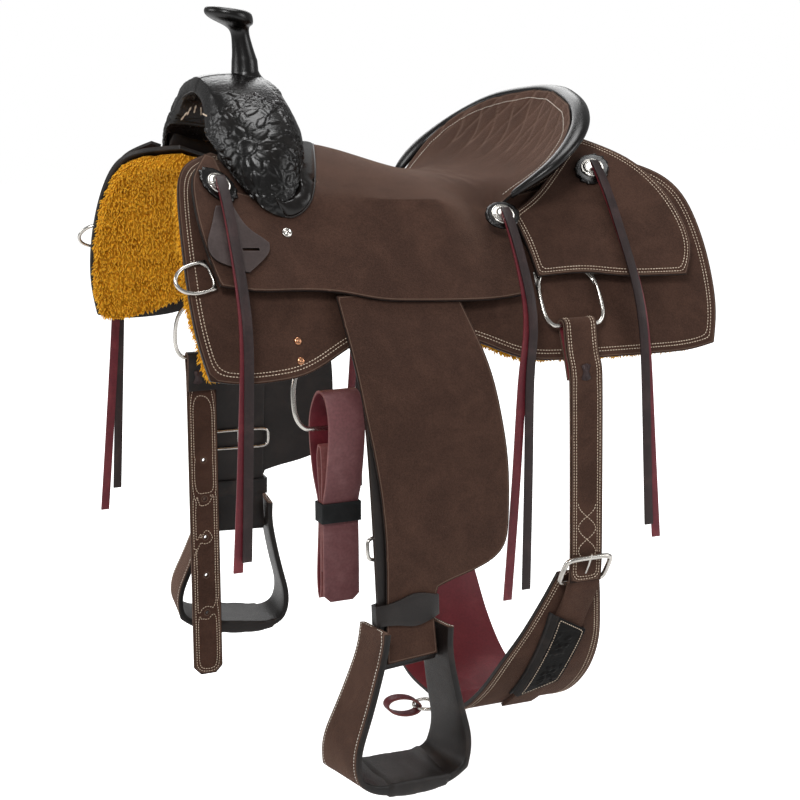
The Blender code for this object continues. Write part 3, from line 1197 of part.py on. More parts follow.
def build_leg(name, hand):
    flip = np.array([1.0, hand, 1.0])
    pivot = leg(LEG_X, 0.020, 0.0) * flip
    hub = hub_at("leg_" + name + "_hub", pivot)

    outline = coons((FENDER_FRONT[0], FENDER_REAR[0]), (FENDER_FRONT[-1], FENDER_REAR[-1]),
                    FENDER_FRONT, FENDER_REAR, 6, 24)
    scale = (LEG_RUN + 0.004 - FENDER_TOP) / (FENDER_END - FENDER_TOP)
    fender = []
    for extra in (0.0, FENDER_T):
        rows = []
        for row in outline:
            runs = [FENDER_TOP + (run - FENDER_TOP) * scale for _, run in row]
            rows.append([leg(x, run, FENDER_OFFSET + leg_bulge(run) + extra)
                         for (x, _), run in zip(row, runs)])
        fender.append(np.array(rows))
    slab("fender_" + name, handed(fender[0], hand), handed(fender[1], hand), "roughout", hub)

    middle = PLY_GAP - GAP / 2
    runs = np.r_[np.linspace(0.002, LEG_RUN - 0.050, 7), np.linspace(LEG_RUN - 0.040, LEG_RUN - 0.004, 4)]
    outer = [(run, middle + PLY_GAP / 2 + leg_bulge(run)) for run in runs]
    inner = [(run, middle - PLY_GAP / 2 - leg_bulge(run)) for run in runs[::-1]]
    around = BOLT_R + GAP + LEATHER_T / 2
    turn = [(LEG_RUN + around * math.sin(a), middle + around * math.cos(a))
            for a in np.linspace(0.15, math.pi - 0.15, 8)]
    line = np.array(outer + turn + inner)
    face = normals_of(line)
    low, high = [], []
    for (run, offset), (nr, no) in zip(line, face):
        for rows, move in ((low, -LEATHER_T / 2), (high, LEATHER_T / 2)):
            at_run, at_offset = run + nr * move, offset + no * move
            beyond = max(at_run - LEG_RUN, 0.0)
            row = []
            for x in (LEG_X - LEATHER_W / 2, LEG_X + LEATHER_W / 2):
                p = leg(x, at_run - beyond, at_offset)
                row.append(p + np.array([0.0, 0.07, -1.0]) * beyond)
            rows.append(row)
    slab("stirrup_leather_" + name, handed(np.array(low), hand), handed(np.array(high), hand),
         "dark_leather", hub)

    ring = []
    for a in np.linspace(0, 2 * math.pi, 24, endpoint=False):
        c, d = math.cos(a), math.sin(a)
        x = LEG_X + LEATHER_RING[0] / 2 * math.copysign(abs(c) ** 0.35, c)
        run = BUCKLE_RUN + LEATHER_RING[1] / 2 * math.copysign(abs(d) ** 0.35, d)
        ring.append(leg(x, run, -(GAP + LEATHER_RING_WIRE / 2 + 0.0006)) * flip)
    wire("leather_buckle_" + name, ring, LEATHER_RING_WIRE, "steel", hub)

    half_x = LEATHER_W / 2 + 0.003 + HOBBLE_T / 2
    inner_face, outer_face = -(3 * GAP + HOBBLE_T / 2), STACK_T + 3 * GAP + HOBBLE_T / 2
    centre = (inner_face + outer_face) / 2
    half_o = (outer_face - inner_face) / 2
    grid = [[], []]
    for k in range(28):
        a = 2 * math.pi * k / 28
        c, d = math.cos(a), math.sin(a)
        reach = 1.0 / max(abs(c), abs(d))
        outer_side = d > 0
        bump = math.exp(-((c * reach + 0.25) / 0.55) ** 2) if outer_side and abs(d) > abs(c) * 0.99 else 0.0
        tall = HOBBLE_W[0] + (HOBBLE_W[1] - HOBBLE_W[0]) * bump
        for rows, move in zip(grid, (-HOBBLE_T / 2, HOBBLE_T / 2)):
            x = LEG_X + c * reach * half_x + (move * np.sign(c) if abs(c) >= abs(d) - 1e-6 else 0.0)
            o = centre + d * reach * half_o + (move * np.sign(d) if abs(d) >= abs(c) - 1e-6 else 0.0)
            rows.append([leg(x, HOBBLE_RUN + share * tall, o) * flip for share in (-0.5, 0.5)])
    slab("hobble_strap_" + name, np.array(grid[0]), np.array(grid[1]), "dark_leather", hub, closed=True)

    bolt = leg(LEG_X, LEG_RUN, middle) * flip
    build_stirrup(name, hand, hub_at("stirrup_" + name + "_hub", bolt, hub), bolt)


def build_stirrup(name, hand, hub, bolt):
    toe = math.radians(TOE_OUT)
    along = np.array([math.cos(toe), math.sin(toe) * hand, 0.0])
    outward = np.array([-math.sin(toe) * hand, math.cos(toe), 0.0])
    half = spline(STIRRUP_LINE, 13)
    line = np.vstack([half * np.array([-1.0, 1.0]), half[-2::-1]])
    face = normals_of(line)
    centre = line.mean(axis=0)
    if (face[0] @ (centre - line[0])) > 0:
        face = -face
    low_share = np.clip(line[:, 1] / STIRRUP_LINE[-1][1], 0.0, 1.0)
    widths = STIRRUP_DEPTH[0] + (STIRRUP_DEPTH[1] - STIRRUP_DEPTH[0]) * low_share
    tread = np.exp(-(line[:, 0] / 0.045) ** 4) * (line[:, 1] > 0.14)
    c, d = math.cos(math.radians(STIRRUP_TILT)), math.sin(math.radians(STIRRUP_TILT))
    turn, pivot = np.array([[c, -d], [d, c]]), np.array([0.0, -STIRRUP_PIVOT])
    line, face = (line - pivot) @ turn + pivot, face @ turn
    inner = STIRRUP_T / 2 + (TREAD_T - STIRRUP_T) * tread
    rings = []
    for (a, down), (na, nd), w, inside in zip(line, face, widths, inner):
        def place(depth, through):
            return (bolt + along * (a + na * through) + np.array([0.0, 0.0, -(down + nd * through)])
                    + outward * depth)
        h, t = w / 2, STIRRUP_T / 2
        soft = 0.0022
        rings.append([place(-h, -inside + soft), place(-h + soft, -inside), place(h - soft, -inside),
                      place(h, -inside + soft), place(h, t - soft), place(h - soft, t),
                      place(-h + soft, t), place(-h, t - soft)])
    band = loft("stirrup_" + name, rings, "roughout", hub)
    reach = STIRRUP_LINE[0][0] + STIRRUP_T / 2 + 0.002
    rod = []
    for end in (-reach, reach):
        rod.append([bolt + along * end + BOLT_R * (outward * math.cos(a) + np.array([0, 0, math.sin(a)]))
                    for a in np.linspace(0, 2 * math.pi, 12, endpoint=False)])
    spindle = loft("stirrup_bolt_" + name, rod, "steel", hub)
    spindle.hide_render = True
    spindle.display_type = "WIRE"
    join = band.modifiers.new("bolt", "BOOLEAN")
    join.operation = "UNION"
    join.solver = "EXACT"
    join.object = spindle


def build_keeper():
    outline = coons((KEEPER_FRONT[0], KEEPER_REAR[0]), (KEEPER_FRONT[-1], KEEPER_REAR[-1]),
                    KEEPER_FRONT, KEEPER_REAR, 6, 10)
    lift = 5 * GAP
    low = on_side(outline, lambda x, s: jockey_high(x, s) + lift)
    high = on_side(outline, lambda x, s: jockey_high(x, s) + lift + KEEPER_T)
    keeper = slab("latigo_keeper", low, high, "dark_leather")
    rings = []
    for depth in (-0.004, 0.010):
        rings.append([side(x, s, jockey_high(*KEEPER_SLOT[0]) + depth) for x, s in
                      ((KEEPER_SLOT[0][0], KEEPER_SLOT[0][1] - KEEPER_SLOT_HALF),
                       (KEEPER_SLOT[1][0], KEEPER_SLOT[1][1] - KEEPER_SLOT_HALF),
                       (KEEPER_SLOT[1][0], KEEPER_SLOT[1][1] + KEEPER_SLOT_HALF),
                       (KEEPER_SLOT[0][0], KEEPER_SLOT[0][1] + KEEPER_SLOT_HALF))])
    cut(keeper, loft("keeper_slot", rings, "steel"))


def build_saddle():
    pair(build_bars)
    pair(build_skirt)
    pair(build_fleece)
    pair(build_plate)
    pair(build_rear_jockey)
    build_seat()
    build_cantle()
    build_fork()
    for station in PLACES:
        for name, hand in (("near", 1), ("off", -1)):
            build_concho(station, name, hand)
            build_string(station, name, hand)
    pair(build_breast_dee)
    near_hub, near_low = build_front_dee("near", 1)
    off_hub, off_low = build_front_dee("off", -1)
    build_latigo(near_hub, near_low)
    build_off_billet(off_hub, off_low)
    build_flank()
    pair(build_leg)
    build_keeper()


build_saddle()
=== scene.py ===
import json
import math
import random

import bmesh
import bpy
import numpy as np
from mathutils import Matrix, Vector, noise
from mathutils.bvhtree import BVHTree
from mathutils.kdtree import KDTree


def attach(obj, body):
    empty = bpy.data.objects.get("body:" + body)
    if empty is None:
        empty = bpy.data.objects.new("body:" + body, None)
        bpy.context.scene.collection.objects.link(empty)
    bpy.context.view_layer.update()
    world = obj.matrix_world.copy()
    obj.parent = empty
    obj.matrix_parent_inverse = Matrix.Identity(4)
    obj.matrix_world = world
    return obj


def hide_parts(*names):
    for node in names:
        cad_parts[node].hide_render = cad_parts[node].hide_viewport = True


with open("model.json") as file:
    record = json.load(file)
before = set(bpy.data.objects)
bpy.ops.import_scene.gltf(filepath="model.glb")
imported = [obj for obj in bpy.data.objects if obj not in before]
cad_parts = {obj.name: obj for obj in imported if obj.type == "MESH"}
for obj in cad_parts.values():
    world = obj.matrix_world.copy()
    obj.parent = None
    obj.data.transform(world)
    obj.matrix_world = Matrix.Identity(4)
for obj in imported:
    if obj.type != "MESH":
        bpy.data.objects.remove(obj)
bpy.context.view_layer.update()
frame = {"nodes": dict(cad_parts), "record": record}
nodes = frame["nodes"]
bodies = frame["record"]["behaviour"]["bodies"]
nodeBody = {node: body for body, members in bodies.items() for node in members}
hands = {"near": 1.0, "off": -1.0}

# Camera, floor and light
camera = {"place": (0.935, 2.154, 0.238), "azimuth": 155.621, "elevation": 12.664, "lens": 81.0}
floor = {"height": -0.80, "size": 16.0, "colour": 0.92, "glow": 0.85}
lamps = {
    "key": {"place": (1.9, 2.6, 2.3), "size": 1.1, "watts": 66.0},
    "fill": {"place": (-2.4, 2.0, 0.9), "size": 1.6, "watts": 22.0},
    "front": {"place": (2.6, -0.8, 1.0), "size": 1.4, "watts": 20.0},
    "top": {"place": (-0.2, -0.2, 2.6), "size": 1.6, "watts": 36.0},
    "back": {"place": (-0.9, -2.6, 1.3), "size": 2.0, "watts": 22.0},
}
worldLight = {"diffuse": 0.34, "glossy": 0.26}


def addObject(name, data):
    made = bpy.data.objects.new(name, data)
    bpy.context.scene.collection.objects.link(made)
    return made


def put(tree, kind, inputs=None, **settings):  # one node, its settings and what goes into its sockets
    made = tree.nodes.new(kind)
    for key, value in settings.items():
        setattr(made, key, value)
    for key, value in (inputs or {}).items():
        if isinstance(value, bpy.types.NodeSocket):
            tree.links.new(value, made.inputs[key])
        else:
            made.inputs[key].default_value = value
    return made


def setTheScene():
    data = bpy.data.cameras.new("camera")
    data.lens, data.sensor_width = camera["lens"], 36.0
    data.clip_start, data.clip_end = 0.05, 60.0
    made = addObject("camera", data)
    made.location = camera["place"]
    made.rotation_euler = (math.radians(90 - camera["elevation"]), 0.0, math.radians(camera["azimuth"]))
    bpy.context.scene.camera = made

    ground = bmesh.new()
    bmesh.ops.create_grid(ground, x_segments=2, y_segments=2, size=floor["size"] / 2)
    bmesh.ops.translate(ground, verts=ground.verts, vec=(0, 0, floor["height"]))
    mesh = bpy.data.meshes.new("floor")
    ground.to_mesh(mesh)
    ground.free()
    stage = addObject("floor", mesh)
    stage.data.materials.append(floorMaterial())

    for name, lamp in lamps.items():
        light = bpy.data.lights.new(name, "AREA")
        light.shape, light.size, light.energy = "DISK", lamp["size"], lamp["watts"]
        made = addObject(name, light)
        made.location = lamp["place"]
        aim = Vector((0.0, 0.0, -0.25)) - Vector(lamp["place"])
        made.rotation_euler = aim.to_track_quat("-Z", "Y").to_euler()

    world = bpy.data.worlds.new("studio")
    bpy.context.scene.world = world
    world.use_nodes = True
    tree = world.node_tree
    tree.nodes.clear()
    path = put(tree, "ShaderNodeLightPath")
    soft = put(tree, "ShaderNodeMapRange", {"Value": path.outputs["Is Glossy Ray"],
                                            "To Min": worldLight["diffuse"], "To Max": worldLight["glossy"]})
    strength = put(tree, "ShaderNodeMapRange", {"Value": path.outputs["Is Camera Ray"],
                                                "To Min": soft.outputs[0], "To Max": 1.0})
    glow = put(tree, "ShaderNodeBackground", {"Color": (1, 1, 1, 1), "Strength": strength.outputs[0]})
    put(tree, "ShaderNodeOutputWorld", {"Surface": glow.outputs[0]})
    bpy.context.scene.view_settings.view_transform = "Standard"


def floorMaterial():
    made = bpy.data.materials.new("studioFloor")
    made.use_nodes = True
    tree = made.node_tree
    shader = tree.nodes["Principled BSDF"]
    grey = floor["colour"]
    shader.inputs["Base Color"].default_value = (grey, grey, grey, 1)
    shader.inputs["Roughness"].default_value = 0.9
    shader.inputs["Specular IOR Level"].default_value = 0.0
    path = put(tree, "ShaderNodeLightPath")
    lift = put(tree, "ShaderNodeMath", {0: path.outputs["Is Camera Ray"], 1: floor["glow"]},
               operation="MULTIPLY")
    shader.inputs["Emission Color"].default_value = (1, 1, 1, 1)
    tree.links.new(lift.outputs[0], shader.inputs["Emission Strength"])
    return made


setTheScene()
print("camera, floor and lamps placed")


# Colours as they show on screen, 0 to 255
def shade(red, green, blue):
    return tuple((c / 255 / 12.92 if c <= 10 else ((c / 255 + 0.055) / 1.055) ** 2.4)
                 for c in (red, green, blue)) + (1.0,)


def blendColours(tree, factor, first, second, mode="MIX"):
    made = tree.nodes.new("ShaderNodeMix")
    made.data_type, made.blend_type = "RGBA", mode
    for index, value in ((0, factor), (6, first), (7, second)):
        if isinstance(value, bpy.types.NodeSocket):
            tree.links.new(value, made.inputs[index])
        else:
            made.inputs[index].default_value = value
    return made.outputs[2]


def calc(tree, operation, first, second=0.0, third=0.0):
    return put(tree, "ShaderNodeMath", {0: first, 1: second, 2: third}, operation=operation).outputs[0]


def ramp(tree, value, low, high, start=0.0, end=1.0):
    return put(tree, "ShaderNodeMapRange",
               {"Value": value, "From Min": low, "From Max": high, "To Min": start, "To Max": end},
               interpolation_type="SMOOTHSTEP").outputs[0]


def speckle(tree, place, scale, detail=3.0, rough=0.5, twist=0.0):
    return put(tree, "ShaderNodeTexNoise",
               {"Vector": place, "Scale": scale, "Detail": detail, "Roughness": rough,
                "Distortion": twist}).outputs["Fac"]


def newGroup(name, inputs, outputs):
    tree = bpy.data.node_groups.new(name, "ShaderNodeTree")
    for label, kind, value in inputs:
        socket = tree.interface.new_socket(label, in_out="INPUT", socket_type="NodeSocket" + kind)
        socket.default_value = value
    for label, kind in outputs:
        tree.interface.new_socket(label, in_out="OUTPUT", socket_type="NodeSocket" + kind)
    return tree, tree.nodes.new("NodeGroupInput").outputs, tree.nodes.new("NodeGroupOutput").inputs


def suedeNapGroup():  # short nap: brushed patches, darker and lighter fibres, a dyed rim
    tree, given, out = newGroup(
        "suedeNap", [("Dark", "Color", (0, 0, 0, 1)), ("Light", "Color", (1, 1, 1, 1)),
                     ("Rim", "Color", (0, 0, 0, 1)), ("Patches", "Float", 1.0)],
        [("Colour", "Color"), ("Roughness", "Float"), ("Height", "Float")])
    place = put(tree, "ShaderNodeTexCoord").outputs["Object"]
    fibres = speckle(tree, place, 1500.0, 3.0, 0.6)
    tufts = speckle(tree, place, 420.0, 4.0, 0.65)
    patches = speckle(tree, place, 30.0, 5.0, 0.62, 0.6)
    brushed = speckle(tree, place, 7.0, 3.0, 0.5, 1.0)
    broad = calc(tree, "ADD", calc(tree, "MULTIPLY", patches, 0.55), calc(tree, "MULTIPLY", brushed, 0.45))
    broad = ramp(tree, broad, 0.36, 0.64)
    broad = calc(tree, "MULTIPLY", broad, given["Patches"])
    fine = calc(tree, "ADD", calc(tree, "MULTIPLY", fibres, 0.55), calc(tree, "MULTIPLY", tufts, 0.45))
    fine = ramp(tree, fine, 0.34, 0.68)
    mixed = calc(tree, "ADD", calc(tree, "MULTIPLY", broad, 0.45), calc(tree, "MULTIPLY", fine, 0.55))
    colour = blendColours(tree, mixed, given["Dark"], given["Light"])
    rim = put(tree, "ShaderNodeAttribute", attribute_name="rim").outputs["Fac"]
    edge = ramp(tree, calc(tree, "ADD", rim, calc(tree, "MULTIPLY", tufts, 0.8)), 0.4, 1.9, 0.9, 0.0)
    crease = calc(tree, "MULTIPLY", ramp(tree, rim, 1.5, 2.0), ramp(tree, rim, 2.2, 2.9, 0.30, 0.0))
    colour = blendColours(tree, crease, colour, shade(150, 128, 112))
    quilt = put(tree, "ShaderNodeAttribute", attribute_name="quilt").outputs["Fac"]
    colour = blendColours(tree, ramp(tree, quilt, 0.30, 1.0, 0.0, 0.26), colour, shade(140, 116, 102))
    tree.links.new(blendColours(tree, edge, colour, given["Rim"]), out["Colour"])
    tree.links.new(calc(tree, "ADD", calc(tree, "MULTIPLY", fine, 0.12), 0.84), out["Roughness"])
    height = calc(tree, "ADD", calc(tree, "MULTIPLY", fine, 0.7), calc(tree, "MULTIPLY", patches, 0.6))
    tree.links.new(height, out["Height"])
    return tree


def grainGroup():  # smooth leather: pores, creases and rubbed places
    tree, given, out = newGroup(
        "leatherGrain", [("Base", "Color", (0, 0, 0, 1)), ("Rubbed", "Color", (1, 1, 1, 1)),
                         ("Pores", "Float", 900.0), ("Wear", "Float", 0.5)],
        [("Colour", "Color"), ("Roughness", "Float"), ("Height", "Float")])
    place = put(tree, "ShaderNodeTexCoord").outputs["Object"]
    cells = put(tree, "ShaderNodeTexVoronoi", {"Vector": place, "Scale": given["Pores"]},
                feature="DISTANCE_TO_EDGE").outputs["Distance"]
    pores = ramp(tree, cells, 0.0, 0.22)
    cloud = speckle(tree, place, 26.0, 4.0, 0.6, 0.4)
    fine = speckle(tree, place, 300.0, 3.0, 0.6)
    rim = put(tree, "ShaderNodeAttribute", attribute_name="rim").outputs["Fac"]
    edge = ramp(tree, calc(tree, "ADD", rim, calc(tree, "MULTIPLY", cloud, 2.0)), 0.6, 3.4, 0.8, 0.0)
    rubbed = calc(tree, "MULTIPLY", calc(tree, "ADD", ramp(tree, cloud, 0.45, 0.72), edge), given["Wear"])
    rubbed = calc(tree, "MINIMUM", rubbed, 1.0)
    colour = blendColours(tree, rubbed, given["Base"], given["Rubbed"])
    colour = blendColours(tree, ramp(tree, fine, 0.3, 0.7, 0.22, 0.0), colour, (0, 0, 0, 1))
    tree.links.new(colour, out["Colour"])
    rough = calc(tree, "SUBTRACT", calc(tree, "MULTIPLY", fine, 0.16), calc(tree, "MULTIPLY", rubbed, 0.08))
    tree.links.new(rough, out["Roughness"])
    height = calc(tree, "ADD", calc(tree, "MULTIPLY", pores, 0.5), calc(tree, "MULTIPLY", fine, 0.5))
    tree.links.new(height, out["Height"])
    return tree


suedeNap, leatherGrain = suedeNapGroup(), grainGroup()


def newMaterial(name):
    made = bpy.data.materials.new(name)
    made.use_nodes = True
    return made, made.node_tree, made.node_tree.nodes["Principled BSDF"]


def bumpFrom(tree, shader, height, strength, distance):
    bump = put(tree, "ShaderNodeBump", {"Height": height, "Strength": strength, "Distance": distance})
    tree.links.new(bump.outputs[0], shader.inputs["Normal"])


def suedeMaterial(name, dark, light, rim, patches=1.0, sheen=0.30):
    made, tree, shader = newMaterial(name)
    nap = put(tree, "ShaderNodeGroup", node_tree=suedeNap)
    nap.inputs["Dark"].default_value, nap.inputs["Light"].default_value = shade(*dark), shade(*light)
    nap.inputs["Rim"].default_value, nap.inputs["Patches"].default_value = shade(*rim), patches
    tree.links.new(nap.outputs["Colour"], shader.inputs["Base Color"])
    tree.links.new(nap.outputs["Roughness"], shader.inputs["Roughness"])
    shader.inputs["Specular IOR Level"].default_value = 0.18
    shader.inputs["Sheen Weight"].default_value = sheen
    shader.inputs["Sheen Roughness"].default_value = 0.45
    shader.inputs["Sheen Tint"].default_value = shade(205, 170, 150)
    bumpFrom(tree, shader, nap.outputs["Height"], 0.55, 0.0007)
    return made


def grainMaterial(name, base, rubbed, roughness, pores=900.0, wear=0.5, coat=0.15, relief=0.00018,
                  gloss=0.36):
    made, tree, shader = newMaterial(name)
    grain = put(tree, "ShaderNodeGroup", {"Pores": pores, "Wear": wear}, node_tree=leatherGrain)
    grain.inputs["Base"].default_value, grain.inputs["Rubbed"].default_value = shade(*base), shade(*rubbed)
    tree.links.new(grain.outputs["Colour"], shader.inputs["Base Color"])
    tree.links.new(calc(tree, "ADD", grain.outputs["Roughness"], roughness), shader.inputs["Roughness"])
    shader.inputs["Coat Weight"].default_value = coat
    shader.inputs["Specular IOR Level"].default_value = gloss
    shader.inputs["Coat Roughness"].default_value = 0.32
    bumpFrom(tree, shader, grain.outputs["Height"], 0.6, relief)
    return made


def metalMaterial(name, tint, roughness, brushed=0.06):
    made, tree, shader = newMaterial(name)
    place = put(tree, "ShaderNodeTexCoord").outputs["Object"]
    smudge = speckle(tree, place, 60.0, 4.0, 0.6)
    scratch = speckle(tree, place, 900.0, 2.0, 0.5)
    shader.inputs["Metallic"].default_value = 1.0
    smudged = ramp(tree, smudge, 0.35, 0.75, 0.0, 0.35)
    tree.links.new(blendColours(tree, smudged, shade(*tint), shade(120, 116, 110)),
                   shader.inputs["Base Color"])
    rough = calc(tree, "ADD", calc(tree, "MULTIPLY", smudge, 0.16), roughness)
    tree.links.new(rough, shader.inputs["Roughness"])
    bumpFrom(tree, shader, scratch, brushed, 0.0002)
    return made


def threadMaterial(name, light, dark):
    made, tree, shader = newMaterial(name)
    place = put(tree, "ShaderNodeTexCoord").outputs["Object"]
    strands = speckle(tree, place, 2200.0, 2.0, 0.5)
    cloud = speckle(tree, place, 90.0, 3.0, 0.6)
    both = calc(tree, "ADD", calc(tree, "MULTIPLY", strands, 0.5), calc(tree, "MULTIPLY", cloud, 0.5))
    tree.links.new(blendColours(tree, ramp(tree, both, 0.35, 0.65), shade(*dark), shade(*light)),
                   shader.inputs["Base Color"])
    shader.inputs["Roughness"].default_value = 0.7
    bumpFrom(tree, shader, strands, 0.5, 0.0002)
    return made


def fleeceMaterial(name, rootShade, middle, tip):
    made, tree, shader = newMaterial(name)
    place = put(tree, "ShaderNodeTexCoord").outputs["Object"]
    pile = put(tree, "ShaderNodeAttribute", attribute_name="pile").outputs["Fac"]
    wool = speckle(tree, place, 520.0, 5.0, 0.7, 0.8)
    clumps = speckle(tree, place, 95.0, 4.0, 0.6, 0.5)
    # Painted shade: the wool is darkest where the pile is low (the roots of the locks and the hollows between
    # lumps) and lightest at the tips. The wool and clump noise adds random tone.
    shadeAndTone = calc(tree, "ADD", calc(tree, "MULTIPLY", pile, 0.55),
                 calc(tree, "ADD", calc(tree, "MULTIPLY", wool, 0.25), calc(tree, "MULTIPLY", clumps, 0.2)))
    colour = blendColours(tree, ramp(tree, shadeAndTone, 0.25, 0.55), shade(*rootShade), shade(*middle))
    colour = blendColours(tree, ramp(tree, shadeAndTone, 0.5, 0.8), colour, shade(*tip))
    tree.links.new(colour, shader.inputs["Base Color"])
    shader.inputs["Roughness"].default_value = 0.95
    shader.inputs["Specular IOR Level"].default_value = 0.1
    shader.inputs["Sheen Weight"].default_value = 0.35
    shader.inputs["Sheen Roughness"].default_value = 0.5
    shader.inputs["Sheen Tint"].default_value = shade(250, 205, 110)
    height = calc(tree, "ADD", calc(tree, "MULTIPLY", wool, 0.6), calc(tree, "MULTIPLY", clumps, 0.4))
    bumpFrom(tree, shader, height, 0.8, 0.0025)
    return made


finishes = {
    "roughout": suedeMaterial("roughoutSuede", (48, 31, 24), (84, 59, 48), (20, 13, 10), 0.8),
    "innerSuede": suedeMaterial("innerSuede", (36, 25, 20), (60, 44, 37), (20, 13, 10), 0.6),
    "pocket": grainMaterial("pocketBlack", (5, 4, 3), (14, 11, 9), 0.48, 1300.0, 0.4, 0.02, 0.00008,
                            gloss=0.14),
    "tooled": grainMaterial("tooledBlack", (9, 7, 6), (30, 24, 21), 0.17, 1300.0, 0.4, 0.20, 0.00006),
    "blackEdge": grainMaterial("burnishedEdge", (17, 12, 10), (52, 40, 34), 0.40, 1500.0, 0.6, 0.08, 0.00008),
    "smoothDark": grainMaterial("smoothDark", (26, 20, 18), (46, 37, 33), 0.38, 1000.0, 0.5, 0.10),
    "hobble": grainMaterial("hobbleLeather", (28, 22, 20), (44, 36, 33), 0.36, 1000.0, 0.5, 0.12),
    "burgundy": grainMaterial("burgundyLatigo", (100, 27, 38), (128, 48, 54), 0.40, 1100.0, 0.6, 0.10),
    "burgundyDull": grainMaterial("burgundyFlesh", (112, 68, 70), (134, 92, 92), 0.46, 1100.0, 0.6, 0.05),
    "burgundyCut": grainMaterial("burgundyCut", (120, 66, 64), (154, 96, 92), 0.5, 1100.0, 0.6, 0.0),
    "stringDark": grainMaterial("stringDark", (40, 26, 26), (66, 46, 45), 0.42, 1100.0, 0.6, 0.08),
    "lining": grainMaterial("burgundyLining", (118, 34, 44), (142, 50, 58), 0.44, 1100.0, 0.5, 0.05),
    "keeper": grainMaterial("keeperLeather", (62, 50, 48), (84, 72, 70), 0.42, 1000.0, 0.6, 0.08),
    "nickel": metalMaterial("nickelSteel", (225, 221, 214), 0.14),
    "copper": metalMaterial("copperRivet", (214, 150, 110), 0.20),
    "thread": threadMaterial("tanThread", (226, 208, 186), (178, 156, 134)),
    "whiteThread": threadMaterial("whiteThread", (228, 220, 208), (176, 166, 152)),
    "fleece": fleeceMaterial("goldFleece", (206, 132, 18), (255, 190, 50), (255, 220, 120)),
    "band": grainMaterial("hookAndLoop", (14, 15, 16), (34, 36, 37), 0.7, 700.0, 0.6, 0.0, 0.0004),
}
print("materials made:", len(finishes))


# Dressing a CAD node: a merged copy, rounded at its rims and smoothed between them
dressing = {"mergeWithin": 1e-5, "rimAngle": 40.0, "rimRound": 0.0009, "rimReach": 30.0,
            "fineness": ((0.0042, 2), (0.0023, 1))}


def workingCopy(node):
    work = bmesh.new()
    work.from_mesh(nodes[node].data)
    for layer in list(work.loops.layers.uv):
        work.loops.layers.uv.remove(layer)
    bmesh.ops.remove_doubles(work, verts=work.verts, dist=dressing["mergeWithin"])
    bmesh.ops.join_triangles(work, faces=work.faces, angle_face_threshold=math.radians(25),
                             angle_shape_threshold=math.radians(60))
    return work


# Material 0 on the outer face, 1 on the rim, 2 on the inner face
def markSides(work, rimAngle, outward, ring=None):
    work.faces.ensure_lookup_table()
    crease = work.edges.layers.float.new("crease_edge")
    limit = math.radians(rimAngle)
    for edge in work.edges:
        if len(edge.link_faces) == 2 and edge.calc_face_angle(0.0) > limit:
            edge[crease] = 1.0
    if ring is not None:  # a band bent round an axis: its outer face looks away from its middle
        middle = sum((v.co for v in work.verts), Vector()) / len(work.verts)
        for face in work.faces:
            outwards = face.normal.dot(face.calc_center_median() - middle) > 0
            face.material_index = 1 if abs(face.normal[ring]) > 0.6 else 0 if outwards else 2
        for edge in work.edges:
            if len({face.material_index for face in edge.link_faces}) > 1:
                edge[crease] = 1.0
        return
    groups, seen = [], set()
    for first in work.faces:
        if first.index in seen:
            continue
        group, front = [], [first]
        seen.add(first.index)
        while front:
            face = front.pop()
            group.append(face)
            for edge in face.edges:
                if edge[crease] > 0.5:
                    continue
                for other in edge.link_faces:
                    if other.index not in seen:
                        seen.add(other.index)
                        front.append(other)
        groups.append(group)
    groups.sort(key=lambda group: -sum(face.calc_area() for face in group))
    for group in groups:
        for face in group:
            face.material_index = 1
    if len(groups) == 1:
        for face in groups[0]:
            face.material_index = 0
        return

    def facing(group):
        total = Vector()
        for face in group:
            total += face.normal * face.calc_area()
        return total.dot(outward)

    large = sorted(groups[:2], key=facing, reverse=True)
    for index, group in zip((0, 2), large):
        for face in group:
            face.material_index = index


def evaluatedMesh(piece):
    graph = bpy.context.evaluated_depsgraph_get()
    mesh = bpy.data.meshes.new_from_object(piece.evaluated_get(graph), preserve_all_data_layers=True,
                                           depsgraph=graph)
    return mesh


def finishMesh(name, work, levels, rimRound):
    mesh = bpy.data.meshes.new(name)
    work.to_mesh(mesh)
    work.free()
    piece = addObject(name, mesh)
    smooth = piece.modifiers.new("smooth", "SUBSURF")
    smooth.levels = smooth.render_levels = levels
    if rimRound > 0:
        bevel = piece.modifiers.new("rim", "BEVEL")
        bevel.width, bevel.segments, bevel.limit_method = rimRound, 2, "ANGLE"
        bevel.angle_limit = math.radians(dressing["rimAngle"])
    made = evaluatedMesh(piece)
    piece.modifiers.clear()
    piece.data = made
    bpy.data.meshes.remove(mesh)
    made.name = name
    return piece


def points(mesh):
    flat = np.zeros(len(mesh.vertices) * 3, np.float32)
    mesh.vertices.foreach_get("co", flat)
    return flat.reshape(-1, 3).astype(float)


def normals(mesh):
    flat = np.zeros(len(mesh.vertices) * 3, np.float32)
    mesh.vertices.foreach_get("normal", flat)
    return flat.reshape(-1, 3).astype(float)


def setPoints(mesh, places):
    mesh.vertices.foreach_set("co", np.asarray(places, np.float32).ravel())
    mesh.update()


def setAttribute(mesh, name, values):
    made = mesh.attributes.get(name) or mesh.attributes.new(name, "FLOAT", "POINT")
    made.data.foreach_set("value", np.asarray(values, np.float32))


def triangleTable(mesh):
    mesh.calc_loop_triangles()
    corners = np.zeros(len(mesh.loop_triangles) * 3, np.int32)
    mesh.loop_triangles.foreach_get("vertices", corners)
    owners = np.zeros(len(mesh.loop_triangles), np.int32)
    mesh.loop_triangles.foreach_get("polygon_index", owners)
    finish = np.zeros(len(mesh.polygons), np.int32)
    mesh.polygons.foreach_get("material_index", finish)
    return corners.reshape(-1, 3), finish[owners]


